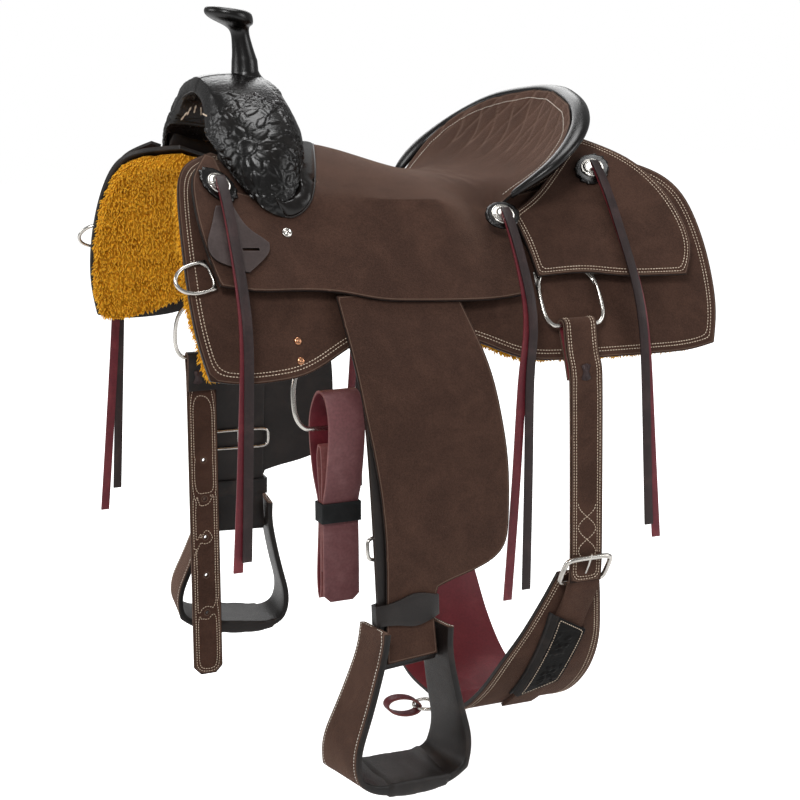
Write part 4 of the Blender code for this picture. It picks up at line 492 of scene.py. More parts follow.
def rimPoints(mesh):  # close points all along the line where the outer face meets the rim
    low = np.full(len(mesh.edges), 99)
    high = np.full(len(mesh.edges), -1)
    for face in mesh.polygons:
        for loop in face.loop_indices:
            edge = mesh.loops[loop].edge_index
            low[edge] = min(low[edge], face.material_index)
            high[edge] = max(high[edge], face.material_index)
    places, found = points(mesh), []
    for index in np.nonzero((low == 0) & (high > 0))[0]:
        first, last = (places[v] for v in mesh.edges[index].vertices)
        count = max(int(np.linalg.norm(last - first) / 0.001), 1)
        found += [first + (last - first) * k / count for k in range(count)]
    return np.array(found)


def rimDistance(mesh):  # millimetres from the outer face's rim, along straight lines
    places, rim = points(mesh), rimPoints(mesh)
    if not len(rim):
        return np.full(len(places), dressing["rimReach"])
    tree = KDTree(len(rim))
    for k, place in enumerate(rim):
        tree.insert(place, k)
    tree.balance()
    return np.array([min(tree.find(p)[2] * 1000, dressing["rimReach"]) for p in places])


def contours(mesh, values, level):  # lines on the outer face where the values reach a level
    corners, finish = triangleTable(mesh)
    corners = corners[finish == 0]
    over = values[corners] > level
    corners = corners[(over.sum(axis=1) % 3) != 0]
    places, up = points(mesh), normals(mesh)
    cuts, links = {}, {}
    for triangle in corners:
        ends = []
        for a, b in ((0, 1), (1, 2), (2, 0)):
            first, last = sorted((int(triangle[a]), int(triangle[b])))
            if (values[first] > level) == (values[last] > level):
                continue
            key = (first, last)
            share = (level - values[first]) / (values[last] - values[first])
            cuts[key] = (places[first] + (places[last] - places[first]) * share,
                         up[first] + (up[last] - up[first]) * share)
            ends.append(key)
        if len(ends) == 2:
            links.setdefault(ends[0], []).append(ends[1])
            links.setdefault(ends[1], []).append(ends[0])
    lines, used = [], set()
    for start in sorted(links, key=lambda key: len(links[key])):
        if start in used:
            continue
        line, here = [], start
        while here is not None:
            used.add(here)
            line.append(cuts[here])
            ahead = [key for key in links[here] if key not in used]
            here = ahead[0] if ahead else None
        if len(line) > 8 and (line[0][0] - line[-1][0]).dot(line[0][0] - line[-1][0]) < 1e-4:
            line.append(line[0])
        lines.append(line)
    return [(np.array([p for p, n in line]), np.array([n for p, n in line]))
            for line in lines if len(line) > 5]


dressed = {}


def dress(node, face, rim="blackEdge", back=None, levels=2, rimAngle=None, rimRound=None, outward=None,
          ring=None):
    hand = -1.0 if node.endswith("off") else 1.0
    work = workingCopy(node)
    markSides(work, rimAngle or dressing["rimAngle"], Vector(outward or (0.0, hand, 0.35)), ring)
    piece = finishMesh(node + "_skin", work, levels, dressing["rimRound"] if rimRound is None else rimRound)
    setAttribute(piece.data, "rim", rimDistance(piece.data))
    sides = [polygon.material_index for polygon in piece.data.polygons]
    piece.data.materials.clear()  # this also sets every face's index to 0
    for finish in (face, rim, back or face):
        piece.data.materials.append(finishes[finish])
    piece.data.polygons.foreach_set("material_index", sides)
    piece.data.shade_smooth()
    dressed[node] = piece
    return piece


def handOver(piece, *replaced, slot=None, body=None):
    first = replaced[0]
    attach(piece, body or nodeBody[first])
    if replaced:
        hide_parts(*replaced)


# Geometry Nodes: what repeats or follows a line
def nodeTree(name, sockets):
    tree = bpy.data.node_groups.new(name, "GeometryNodeTree")
    tree.interface.new_socket("Geometry", in_out="INPUT", socket_type="NodeSocketGeometry")
    tree.interface.new_socket("Geometry", in_out="OUTPUT", socket_type="NodeSocketGeometry")
    for label, kind, value in sockets:
        socket = tree.interface.new_socket(label, in_out="INPUT", socket_type="NodeSocket" + kind)
        if value is not None:
            socket.default_value = value
    return tree, tree.nodes.new("NodeGroupInput").outputs, tree.nodes.new("NodeGroupOutput").inputs


def finishTree(tree, out, instances, finish):
    real = put(tree, "GeometryNodeRealizeInstances", {0: instances})
    real = put(tree, "GeometryNodeSetMaterial", {"Geometry": real.outputs[0], "Material": finish})
    tree.links.new(real.outputs[0], out[0])
    return tree


def facingAlong(tree, along, lift):
    return put(tree, "FunctionNodeAxesToRotation", {"Primary Axis": lift, "Secondary Axis": along},
               primary_axis="Z", secondary_axis="X").outputs[0]


def stitchTree():  # one thread stitch after another along a line lying on the leather
    tree, given, out = nodeTree("stitchRow", [("Step", "Float", 0.004), ("Length", "Float", 0.003),
                                              ("Width", "Float", 0.0009), ("Finish", "Material", None)])
    curve = put(tree, "GeometryNodeMeshToCurve", {"Mesh": given["Geometry"]})
    curve = put(tree, "GeometryNodeResampleCurve", {"Curve": curve.outputs[0], "Length": given["Step"]},
                mode="LENGTH")
    ball = put(tree, "GeometryNodeMeshUVSphere", {"Segments": 6, "Rings": 4, "Radius": 0.5})
    size = put(tree, "ShaderNodeCombineXYZ", {"X": given["Length"], "Y": given["Width"], "Z": given["Width"]})
    lift = put(tree, "GeometryNodeInputNamedAttribute", {"Name": "lift"}, data_type="FLOAT_VECTOR")
    along = put(tree, "GeometryNodeInputTangent")
    made = put(tree, "GeometryNodeInstanceOnPoints",
               {"Points": curve.outputs[0], "Instance": ball.outputs["Mesh"], "Scale": size.outputs[0],
                "Rotation": facingAlong(tree, along.outputs[0], lift.outputs[0])})
    return finishTree(tree, out, made.outputs[0], given["Finish"])


def studTree():  # the same small object on every point, standing on the surface
    tree, given, out = nodeTree("studs", [("Object", "Object", None), ("Size", "Float", 1.0),
                                          ("Finish", "Material", None)])
    shape = put(tree, "GeometryNodeObjectInfo", {"Object": given["Object"]})
    lift = put(tree, "GeometryNodeInputNamedAttribute", {"Name": "lift"}, data_type="FLOAT_VECTOR")
    along = put(tree, "GeometryNodeInputNamedAttribute", {"Name": "along"}, data_type="FLOAT_VECTOR")
    spots = put(tree, "GeometryNodeMeshToPoints", {"Mesh": given["Geometry"]})
    made = put(tree, "GeometryNodeInstanceOnPoints",
               {"Points": spots.outputs[0], "Instance": shape.outputs["Geometry"], "Scale": given["Size"],
                "Rotation": facingAlong(tree, along.outputs[0], lift.outputs[0])})
    return finishTree(tree, out, made.outputs[0], given["Finish"])


def tuftTree():  # locks of wool standing on the backing, each leaning its own way
    tree, given, out = nodeTree("woolTufts", [("Object", "Object", None), ("Density", "Float", 40000.0),
                                              ("Lean", "Float", 0.6), ("Least", "Float", 0.7),
                                              ("Most", "Float", 1.35), ("Seed", "Int", 3),
                                              ("Finish", "Material", None)])
    spots = put(tree, "GeometryNodeDistributePointsOnFaces",
                {"Mesh": given["Geometry"], "Density": given["Density"], "Seed": given["Seed"]})
    low = put(tree, "ShaderNodeVectorMath", {0: (-1.0, -1.0, -2.5), "Scale": given["Lean"]},
              operation="SCALE")
    high = put(tree, "ShaderNodeVectorMath", {0: (1.0, 1.6, 2.5), "Scale": given["Lean"]}, operation="SCALE")
    lean = put(tree, "FunctionNodeRandomValue",
               {0: low.outputs[0], 1: high.outputs[0], "Seed": given["Seed"]},
               data_type="FLOAT_VECTOR")
    turn = put(tree, "FunctionNodeEulerToRotation", {0: lean.outputs[0]})
    lying = facingAlong(tree, (0.0, 0.0, -1.0), spots.outputs["Normal"])
    way = put(tree, "FunctionNodeRotateRotation", {0: lying, 1: turn.outputs[0]},
              rotation_space="LOCAL")
    size = put(tree, "FunctionNodeRandomValue", {2: given["Least"], 3: given["Most"], "Seed": given["Seed"]},
               data_type="FLOAT")
    shape = put(tree, "GeometryNodeObjectInfo", {"Object": given["Object"]})
    made = put(tree, "GeometryNodeInstanceOnPoints",
               {"Points": spots.outputs["Points"], "Instance": shape.outputs["Geometry"],
                "Rotation": way.outputs[0], "Scale": size.outputs[1]})
    real = put(tree, "GeometryNodeRealizeInstances", {0: made.outputs[0]})
    both = tree.nodes.new("GeometryNodeJoinGeometry")
    tree.links.new(real.outputs[0], both.inputs[0])
    tree.links.new(given["Geometry"], both.inputs[0])
    final = put(tree, "GeometryNodeSetMaterial", {"Geometry": both.outputs[0], "Material": given["Finish"]})
    tree.links.new(final.outputs[0], out[0])
    return tree


rowTree, spotTree, woolTree = stitchTree(), studTree(), tuftTree()


def runTree(piece, tree, settings):
    modifier = piece.modifiers.new("nodes", "NODES")
    modifier.node_group = tree
    for item in tree.interface.items_tree:
        if item.item_type == "SOCKET" and item.in_out == "INPUT" and item.name in settings:
            modifier[item.identifier] = settings[item.name]
    made = evaluatedMesh(piece)
    before = piece.data
    piece.modifiers.clear()
    piece.data = made
    bpy.data.meshes.remove(before)
    made.name = piece.name
    return piece


def vectorAttribute(mesh, name, values):
    made = mesh.attributes.new(name, "FLOAT_VECTOR", "POINT")
    made.data.foreach_set("vector", np.asarray(values, np.float32).ravel())


def lineMesh(name, lines):  # lines of (places, ups) as one mesh of edges
    places, ups, edges = [], [], []
    for line, up in lines:
        start = len(places)
        places += [tuple(p) for p in line]
        ups += [tuple(u) for u in up]
        edges += [(start + k, start + k + 1) for k in range(len(line) - 1)]
    mesh = bpy.data.meshes.new(name)
    mesh.from_pydata(places, edges, [])
    vectorAttribute(mesh, "lift", ups)
    return mesh


def helper(name, mesh):  # a shape that only Geometry Nodes use
    made = bpy.data.objects.new(name, mesh)
    return made


def turned(name, profile, count):  # a lathe shape: (radius, height) from the rim to the middle
    shape = bmesh.new()
    rings = []
    for radius, height in profile:
        if radius <= 0:
            rings.append([shape.verts.new((0, 0, height))])
            continue
        rings.append([shape.verts.new((radius * math.cos(a), radius * math.sin(a), height))
                      for a in (2 * math.pi * k / count for k in range(count))])
    for low, high in zip(rings[:-1], rings[1:]):
        for k in range(count):
            ends = [low[k], low[(k + 1) % count]]
            ends += [high[0]] if len(high) == 1 else [high[(k + 1) % count], high[k]]
            shape.faces.new(ends)
    mesh = bpy.data.meshes.new(name)
    shape.to_mesh(mesh)
    shape.free()
    mesh.shade_smooth()
    return mesh


def unit(vector):
    return np.asarray(vector, float) / max(np.linalg.norm(vector), 1e-12)


def pixelRay(across, down):  # from the camera through a spot of an 800 x 800 picture
    facing = bpy.context.scene.camera.matrix_world
    reach = camera["lens"] / 36.0 * 800.0
    way = facing.to_3x3() @ Vector(((across - 400) / reach, (400 - down) / reach, -1.0))
    return facing.translation.copy(), way.normalized()


def seenOn(node, across, down):  # the spot of a dressed node that shows there, and its normal
    spot, normal = surfaceOf(node).ray_cast(*pixelRay(across, down))[:2]
    return (np.array(spot), np.array(normal)) if spot is not None else None


surfaces = {}


def surfaceOf(node):
    if node not in surfaces:
        mesh = dressed[node].data
        surfaces[node] = BVHTree.FromPolygons([v.co for v in mesh.vertices],
                                              [f.vertices for f in mesh.polygons])
    return surfaces[node]


def mirrored(line, up):
    return line * (1.0, -1.0, 1.0), up * (1.0, -1.0, 1.0)


def evenOut(mesh, hidden=2):  # without its hidden inner side, and fine enough to be carved
    work = bmesh.new()
    work.from_mesh(mesh)
    bmesh.ops.delete(work, geom=[f for f in work.faces if f.material_index == hidden], context="FACES")
    for longest, cuts in dressing["fineness"]:
        edges = [e for e in work.edges if e.calc_length() > longest
                 and any(f.material_index == 0 for f in e.link_faces)]
        bmesh.ops.subdivide_edges(work, edges=edges, cuts=cuts, use_grid_fill=True)
    bmesh.ops.smooth_vert(work, verts=[v for v in work.verts if not v.is_boundary], factor=0.5,
                          use_axis_x=True, use_axis_y=True, use_axis_z=True)
    work.to_mesh(mesh)
    work.free()
    mesh.shade_smooth()


plain = {
    "skirt": ("roughout", "blackEdge", "blackEdge"),
    "rear_jockey": ("roughout", "blackEdge", "innerSuede"),
    "fender": ("roughout", "blackEdge", "smoothDark"),
    "stirrup_leather": ("smoothDark", "blackEdge", "roughout"),
    "hobble_strap": ("hobble", "blackEdge", "hobble"),
    "rigging_plate": ("nickel", "nickel", "nickel"),
    "rear_billet": ("roughout", "roughout", "lining"),
}
for base, (face, rim, back) in plain.items():
    for hand in hands:
        dress(base + "_" + hand, face, rim, back)
dress("seat_leather", "roughout", outward=(0, 0, 1), back="innerSuede", levels=3)
dress("seat_pad", "roughout", outward=(0, 0, 1))
dress("ground_seat", "nickel", "nickel", outward=(0, 0, 1))
dress("tree_cantle", "blackEdge", "blackEdge")
dress("tree_fork", "blackEdge", "blackEdge", outward=(0, 0, 1))
for hand in hands:
    dress("stirrup_" + hand, "roughout", "blackEdge", "smoothDark", ring=1, rimAngle=75)
    dress("tree_bar_" + hand, "roughout", "roughout")
    piece = dress("fleece_" + hand, "fleece", "fleece", "fleece", levels=2, rimRound=0)
    for face in piece.data.polygons:
        face.material_index = 0 if face.normal.dot(Vector((0.0, hands[hand], 0.35))) > 0.35 else 2
    dress("flank_buckle_" + hand, "nickel", "nickel", rimAngle=80, rimRound=0)
    dress("leather_buckle_" + hand, "nickel", "nickel", rimAngle=80, rimRound=0)
    for dee in ("breast_dee_", "front_dee_", "rear_dee_"):
        dress(dee + hand, "nickel", "nickel", rimAngle=80, rimRound=0)
    for station in ("front", "mid", "rear"):
        dress("concho_" + station + "_" + hand, "tooled", "tooled", levels=2, rimAngle=60, rimRound=0)
        dress("string_" + station + "_" + hand, "burgundy", "stringDark", "stringDark", levels=1,
              rimRound=0.0004)
dress("flank_dee", "nickel", "nickel", rimAngle=80, rimRound=0)
dress("cantle_roll", "tooled", "tooled", rimAngle=70)
dress("cantle_back", "tooled", "tooled", outward=(-1, 0, 0.3), levels=3)
evenOut(dress("fork_cover", "tooled", "blackEdge", "blackEdge", outward=(0, 0, 1), levels=3, rimRound=0).data)
dress("horn_core", "nickel", "nickel", rimAngle=80, rimRound=0)
dress("horn_cover", "tooled", "tooled", rimAngle=80, rimRound=0)
dress("latigo", "burgundyDull", "burgundyCut", "burgundy")
dress("latigo_band", "band", "band")
dress("off_billet", "roughout", "roughout", "blackEdge")
dress("flank_cinch", "roughout", "blackEdge", "lining", ring=0, rimAngle=70)
dress("flank_pocket_near", "pocket", "blackEdge", levels=3)
dress("connector_strap", "burgundy", "burgundyCut")
dress("latigo_keeper", "keeper", "blackEdge")


def extra(piece, node, replaces=False):  # a further visible part that belongs to a node's body
    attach(piece, nodeBody[node])
    if replaces:
        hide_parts(node)
    return piece


print("CAD nodes dressed:", len(dressed))

# Strings: one dark tail and one burgundy tail, parted at the fold
strings = {"foldDepth": 0.004}
for node, piece in dressed.items():
    if not node.startswith("string"):
        continue
    places = points(piece.data)
    top = places[:, 2].max() - strings["foldDepth"]
    group = np.full(len(places), -1)
    work = bmesh.new()
    work.from_mesh(piece.data)
    work.verts.ensure_lookup_table()
    for seed in np.argsort(places[:, 2]):
        if group[seed] >= 0 or places[seed, 2] > top:
            continue
        label, front = group.max() + 1, [work.verts[int(seed)]]
        group[seed] = label
        while front:
            for edge in front.pop().link_edges:
                for vert in edge.verts:
                    if group[vert.index] < 0 and vert.co.z <= top:
                        group[vert.index] = label
                        front.append(vert)
    work.free()
    forward = max(range(group.max() + 1), key=lambda k: places[group == k][:, 0].max())
    for face in piece.data.polygons:
        face.material_index = 0 if any(group[v] == forward for v in face.vertices) else 1
print("strings coloured")

# Stitch rows: contours of the distance from the rim
stitching = {"step": 0.0039, "length": 0.0032, "width": 0.0013, "smoothing": 3, "coveredWithin": 0.008,
             "shortest": 0.12}
rows = {  # millimetres from the rim of each row
    "skirt": (8.0, 12.0), "rear_jockey": (4.6, 8.6), "rear_billet": (4.0, 7.5), "off_billet": (4.0, 7.5),
    "stirrup": (5.0,), "flank_cinch": (5.0, 9.0), "flank_pocket": (3.5,), "fender": (),
}


def coverTree():  # every dressed piece, to tell where a row runs under another one
    corners, faces = [], []
    for piece in dressed.values():
        start = len(corners)
        corners += [v.co.copy() for v in piece.data.vertices]
        faces += [[start + v for v in face.vertices] for face in piece.data.polygons]
    return BVHTree.FromPolygons(corners, faces)


allSurfaces = coverTree()


def visibleRuns(line, up):  # the parts of a line that no other piece covers
    runs, run = [], []
    for place, normal in zip(line, up):
        start = Vector(place) + Vector(normal).normalized() * 0.0006
        hit = allSurfaces.ray_cast(start, Vector(normal).normalized(), stitching["coveredWithin"])[0]
        if hit is None:
            run.append((place, normal))
        else:
            runs.append(run)
            run = []
    runs.append(run)
    return [(np.array([p for p, n in r]), np.array([n for p, n in r])) for r in runs if len(r) > 6]


def lineLength(line):
    return np.linalg.norm(np.diff(line, axis=0), axis=1).sum()


def smoothLine(line, passes):
    line = line.copy()
    closed = np.linalg.norm(line[0] - line[-1]) < 1e-6
    for _ in range(passes):
        line[1:-1] = line[1:-1] / 2 + (line[:-2] + line[2:]) / 4
        if closed:
            line[0] = line[-1] = line[0] / 2 + (line[1] + line[-2]) / 4
    return line


def stitchPiece(name, lines, body, finish="thread", **changes):
    settings = {**stitching, **changes}
    piece = addObject(name, lineMesh(name, lines))
    runTree(piece, rowTree, {"Step": settings["step"], "Length": settings["length"],
                             "Width": settings["width"], "Finish": finishes[finish]})
    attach(piece, body)
    return piece


def rimRows(node, insets):
    mesh = dressed[node].data
    values = np.zeros(len(mesh.vertices), np.float32)
    mesh.attributes["rim"].data.foreach_get("value", values)
    lines = []
    for inset in insets:
        for line, up in contours(mesh, values, inset):
            if lineLength(line) < stitching["shortest"]:  # round a hole or a slot
                continue
            lines += visibleRuns(smoothLine(line, stitching["smoothing"]), up)
    return lines


byBody = {}
for base, insets in rows.items():
    for node in dressed:
        if node.startswith(base) and not node.startswith(("stirrup_leather",)):
            byBody.setdefault((nodeBody[node], base), []).extend(rimRows(node, insets))
for (body, base), lines in byBody.items():
    if lines:
        finish = "whiteThread" if base == "stirrup" else "thread"
        stitchPiece("stitches_%s_%s" % (base, body), lines, body, finish)
print("stitch rows made:", len(byBody))

# Fleece: wool locks on the rim and the inner face
wool = {"lock": 0.0054, "thickness": 0.0017, "density": 105000.0, "lean": 0.30,
        "lump": 0.0034, "lumpSize": 0.018}


def woolLock():
    profile = [(0.5, 0.0), (0.62, 0.35), (0.42, 0.75), (0.0, 1.0)]
    mesh = turned("woolLock", profile, 4)
    places = points(mesh)
    bent = 0.75 * places[:, 2] ** 2
    places = np.column_stack([places[:, 0] * wool["thickness"] + bent * wool["lock"],
                              places[:, 1] * wool["thickness"], places[:, 2] * wool["lock"] - 0.0015])
    # pile runs from the root to the tip of each lock; the fleece finish paints the roots darker, as painted
    # shade
    setAttribute(mesh, "pile", np.clip(places[:, 2] / wool["lock"], 0, 1))
    setPoints(mesh, places)
    return helper("woolLock", mesh)


lock = woolLock()
for hand in hands:
    piece = dressed["fleece_" + hand]
    mesh = piece.data
    inner = {v for face in mesh.polygons if face.material_index != 0 for v in face.vertices}
    places, up = points(mesh), normals(mesh)
    lumps = np.array([noise.noise(Vector(p) / wool["lumpSize"]) if k in inner else -0.4
                      for k, p in enumerate(places)])
    setPoints(mesh, places + up * ((lumps - 0.1) * wool["lump"])[:, None])
    # pile follows the lumps, so the hollows take the fleece finish's painted shade
    setAttribute(mesh, "pile", np.clip(lumps * 0.5 + 0.3, 0, 1))
    emitter = bmesh.new()
    emitter.from_mesh(mesh)
    bmesh.ops.delete(emitter, geom=[f for f in emitter.faces if f.material_index == 0], context="FACES")
    locks = bpy.data.meshes.new("locks")
    emitter.to_mesh(locks)
    emitter.free()
    locks.materials.clear()
    locks.materials.append(finishes["fleece"])
    piece = addObject("wool_" + hand, locks)
    runTree(piece, woolTree, {"Object": lock, "Density": wool["density"], "Lean": wool["lean"],
                              "Finish": finishes["fleece"]})
    extra(piece, "fleece_" + hand)
print("fleece made")

# Carved leather: leaves, stems and flowers pressed into the surface
walkStep = 0.0015


def walk(surface, start, heading, length, curl, step=walkStep):
    spot, normal = surface.find_nearest(Vector(start))[:2]
    way, line, gone = Vector(heading), [], 0.0
    while gone < length and spot is not None:
        way = (way - normal * way.dot(normal)).normalized()
        line.append((np.array(spot), np.array(normal), np.array(way)))
        bend = curl(gone / length) * step
        way = way + normal.cross(way) * bend
        spot, normal = surface.find_nearest(spot + way * step)[:2]
        gone += step
    return line


def rotatedAbout(vector, axis, angle):
    vector, axis = np.asarray(vector, float), unit(axis)
    return (vector * math.cos(angle) + np.cross(axis, vector) * math.sin(angle)
            + axis * axis.dot(vector) * (1 - math.cos(angle)))


def pressLeaf(height, places, stamp):  # a pointed leaf or petal with a vein, cut in all round
    middle, normal, along, length, width = stamp
    offset = places - middle
    run, rise = offset @ along, offset @ normal
    side = offset @ np.cross(normal, along)
    share = np.clip(run / length, 0.0, 1.0)
    half = width / 2 * np.sin(math.pi * share ** 0.72) + 1e-5
    near = (np.abs(rise) < 0.020) & (run > -0.001) & (run < length + 0.001) & (np.abs(side) < width)
    across = np.abs(side) / half
    inside = near & (across < 1.0)
    raised = carving["leaf"] * (1.0 - across ** 2) - carving["vein"] * np.exp(-(side / 0.0007) ** 2)
    height[inside] = np.maximum(raised[inside], height[inside] * 0.2)
    gap = np.abs(np.abs(side) - half)
    cut = near & ~inside & (gap < 0.0011)
    height[cut] = np.minimum(height[cut], -carving["cut"] * np.exp(-(gap[cut] / 0.0008) ** 2))


def pressFlower(height, places, middle, normal, up, radius, petals):
    for k in range(petals):
        along = rotatedAbout(up, normal, 2 * math.pi * k / petals)
        petal = (middle + along * radius * 0.28, normal, along, radius * 0.74, radius * 0.48)
        pressLeaf(height, places, petal)
    offset = places - middle
    rise = offset @ normal
    out = np.linalg.norm(offset - rise[:, None] * normal, axis=1)
    heart = (out < radius * 0.29) & (np.abs(rise) < 0.02)
    dots = np.sin(places @ unit(up) * 1500) * np.sin(places @ unit(np.cross(up, normal)) * 1500)
    dome = carving["leaf"] * (1.35 - (out / (radius * 0.29)) ** 2) + 0.00030 * dots
    height[heart] = dome[heart]
    ring = (out < radius * 0.33) & ~heart & (np.abs(rise) < 0.02)
    height[ring] = -carving["cut"]


def pressStem(height, places, line, width):
    tree = KDTree(len(line))
    for k, (spot, normal, way) in enumerate(line):
        tree.insert(spot, k)
    tree.balance()
    middle = np.mean([spot for spot, n, w in line], axis=0)
    reach = max(np.linalg.norm(spot - middle) for spot, n, w in line) + 0.004
    for index in np.nonzero(np.linalg.norm(places - middle, axis=1) < reach)[0]:
        gap = tree.find(places[index])[2]
        if gap < width * 0.5:
            height[index] = max(height[index], carving["stem"] * (1 - (gap / (width * 0.5)) ** 2))
        elif gap < width * 0.85 and height[index] < carving["leaf"] * 0.3:
            height[index] = min(height[index], -carving["cut"] * math.exp(-((gap / width - 0.62) / 0.3) ** 2))


carving = {"leaf": 0.0010, "vein": 0.0006, "cut": 0.0010, "stem": 0.0008, "ground": 0.0006,
           "stipple": 0.00012}


def carve(node, design, region):
    mesh = dressed[node].data
    places, up = points(mesh), normals(mesh)
    chosen = np.zeros(len(places), bool)
    for face in mesh.polygons:
        if face.material_index == 0:
            chosen[list(face.vertices)] = True
    chosen &= region(places, up)
    some = places[chosen]
    height = np.zeros(len(some))
    for kind, *details in design:
        {"leaf": pressLeaf, "flower": pressFlower, "stem": pressStem}[kind](height, some, *details)
    rng = np.random.default_rng(7)
    flat = np.abs(height) < 0.00004
    height[flat] = -carving["ground"] + carving["stipple"] * rng.standard_normal(flat.sum())
    full = np.zeros(len(places))
    full[chosen] = height
    setPoints(mesh, places + up * full[:, None])
    setAttribute(mesh, "carve", full * 1000)
    surfaces.pop(node, None)


def vine(surface, start, heading, length, curl, leaf, every, seed=0):
    line = walk(surface, start, heading, length, curl)
    made, rng = [("stem", line, 0.0022)], random.Random(seed)
    side, gone = 1, every
    for k, (spot, normal, way) in enumerate(line):
        if k * walkStep < gone:
            continue
        gone += every
        side = -side
        along = rotatedAbout(way, normal, side * math.radians(rng.uniform(34, 52)))
        size = leaf * rng.uniform(0.8, 1.15) * (1 - 0.35 * k / len(line))
        made.append(("leaf", (spot + along * 0.001, normal, along, size, size * 0.42)))
    spot, normal, way = line[-1]
    made.append(("leaf", (spot, normal, way, leaf * 0.9, leaf * 0.4)))
    return made


swell = {"flowerPixel": (247, 147), "flowerRadius": 0.034, "petals": 10, "stems": 8, "stemLength": 0.095,
         "leaf": 0.024, "border": 0.158, "borderStep": 0.0040}
spot, normal = seenOn("fork_cover", *swell["flowerPixel"])
design = []
for flip in (1.0, -1.0):
    turn = np.array([1.0, flip, 1.0])
    middle, facing = spot * turn, normal * turn
    surface = surfaceOf("fork_cover")
    upward = unit(np.cross(facing, np.cross((0, 0, 1.0), facing)))
    for k in range(swell["stems"]):
        angle = 2 * math.pi * (k + 0.4) / swell["stems"]
        heading = rotatedAbout(upward, facing, angle)
        bend = (34.0 if k % 2 else -34.0)
        design += vine(surface, middle + heading * swell["flowerRadius"], heading, swell["stemLength"],
                       lambda share, bend=bend: bend * (0.4 + 1.1 * share), swell["leaf"], 0.0115, seed=k)
    for k in range(swell["petals"]):
        along = rotatedAbout(upward, facing, 2 * math.pi * (k + 0.5) / swell["petals"])
        root, up = surface.find_nearest(Vector(middle + along * swell["flowerRadius"] * 0.92))[:2]
        along = unit(along - np.array(up) * along.dot(np.array(up)))
        design.append(("leaf", (np.array(root), np.array(up), along, swell["leaf"], swell["leaf"] * 0.42)))
        design += vine(surface, np.array(root) + along * swell["leaf"], along, swell["stemLength"] * 0.5,
                       lambda share, k=k: (46.0 if k % 2 else -46.0), swell["leaf"] * 0.7, 0.009, seed=20 + k)
    design.append(("flower", middle, facing, upward, swell["flowerRadius"], swell["petals"]))
mesh = dressed["fork_cover"].data
print("fork cover:", len(mesh.polygons), "faces")


def onSwell(places, up):
    return (np.abs(places[:, 1]) > 0.012) & (up[:, 0] > -0.9) & (up[:, 2] > -0.5)


def borderLines(places):  # two lines along the rear of the swell, then a row of small leaves behind them
    gap = places[:, 0] - swell["border"]
    grooves = np.exp(-(gap / 0.0008) ** 2) + np.exp(-((gap + swell["borderStep"]) / 0.0008) ** 2)
    behind = np.clip((-gap - swell["borderStep"] - 0.0012) / 0.0012, 0, 1)
    beads = np.abs(np.sin((places[:, 2] + np.abs(places[:, 1]) * 0.6) * math.pi / 0.0075))
    return grooves, behind, beads


carve("fork_cover", design, onSwell)
mesh = dressed["fork_cover"].data
places, up = points(mesh), normals(mesh)
grooves, behind, beads = borderLines(places)
mask = onSwell(places, up) * 1.0
strip = behind * np.exp(-((places[:, 0] - swell["border"] + swell["borderStep"] + 0.006) / 0.0035) ** 4)
setPoints(mesh, places + up * (mask * (strip * (beads - 0.5) * 0.0009 - grooves * 0.0009))[:, None])
surfaces.pop("fork_cover", None)
print("fork carved:", len(mesh.polygons), "faces")

# The horn's foot set down into the fork's cover
hornFoot = {"height": 0.012, "down": 0.010}
hornMesh = dressed["horn_cover"].data
places = points(hornMesh)
foot = places[:, 2] < places[:, 2].min() + hornFoot["height"]
places[foot, 2] -= hornFoot["down"]
setPoints(hornMesh, places)

# Cantle: quilted dish, fuller roll, row of stitches inside the roll
dish = {"across": 0.036, "along": 0.088, "puff": 0.0011, "rollFuller": 0.0024, "backFuller": 0.008,
        "wrinkle": 0.0022, "rollRow": 13.0}
mesh = dressed["seat_leather"].data
places, up = points(mesh), normals(mesh)
inDish = np.clip((-places[:, 0] - 0.105) / 0.05, 0, 1) * np.clip((places[:, 2] - 0.012) / 0.03, 0, 1)
rise = places[:, 2] * 1.2
first = places[:, 1] / dish["across"] + rise / dish["along"] + 0.08 * np.sin(rise * 70)
second = places[:, 1] / dish["across"] - rise / dish["along"] + 0.08 * np.sin(rise * 90 + 1)
away = np.minimum(np.abs(first - np.round(first)), np.abs(second - np.round(second))) * dish["across"]
line = np.exp(-(away / 0.0028) ** 2)
fold = np.array([noise.noise(Vector((p[0] * 95, p[1] * 16, 3.1))) for p in places])
front = np.exp(-((places[:, 0] + 0.088) / 0.030) ** 2) * np.exp(-(places[:, 1] / 0.10) ** 4)
relief = inDish * (0.5 - line) * dish["puff"] + front * fold * dish["wrinkle"]
setPoints(mesh, places + up * relief[:, None])
setAttribute(mesh, "quilt", inDish * line)
roll = dressed["cantle_roll"].data
setPoints(roll, points(roll) + normals(roll) * dish["rollFuller"])
back = dressed["cantle_back"].data
places = points(back)
flat = places * (1, 1, 0) - np.array([-0.09, 0, 0])
outward = flat / np.linalg.norm(flat, axis=1)[:, None]
low = (np.clip(1 - (places[:, 2] - places[:, 2].min()) / 0.09, 0, 1)
       * np.clip(np.abs(places[:, 1]) / 0.06, 0, 1))
setPoints(back, places + outward * (low * dish["backFuller"])[:, None])
values = np.zeros(len(mesh.vertices), np.float32)
mesh.attributes["rim"].data.foreach_get("value", values)
rollRow = []
for line, up in contours(mesh, values, dish["rollRow"]):
    keep = (line[:, 0] < -0.085) & (line[:, 2] > -0.005)
    pieces = np.split(np.arange(len(line)), np.nonzero(np.diff(keep.astype(int)))[0] + 1)
    for part in pieces:
        if keep[part[0]] and len(part) > 6:
            rollRow += visibleRuns(smoothLine(line[part], stitching["smoothing"]), up[part])
if rollRow:
    stitchPiece("stitches_dish", rollRow, nodeBody["seat_leather"], "whiteThread")
print("cantle quilted, rows by the roll:", len(rollRow))

# Silver conchos on their rosettes
concho = {"radius": 0.0150, "flutes": 20, "lobes": 14, "lobe": 0.075}


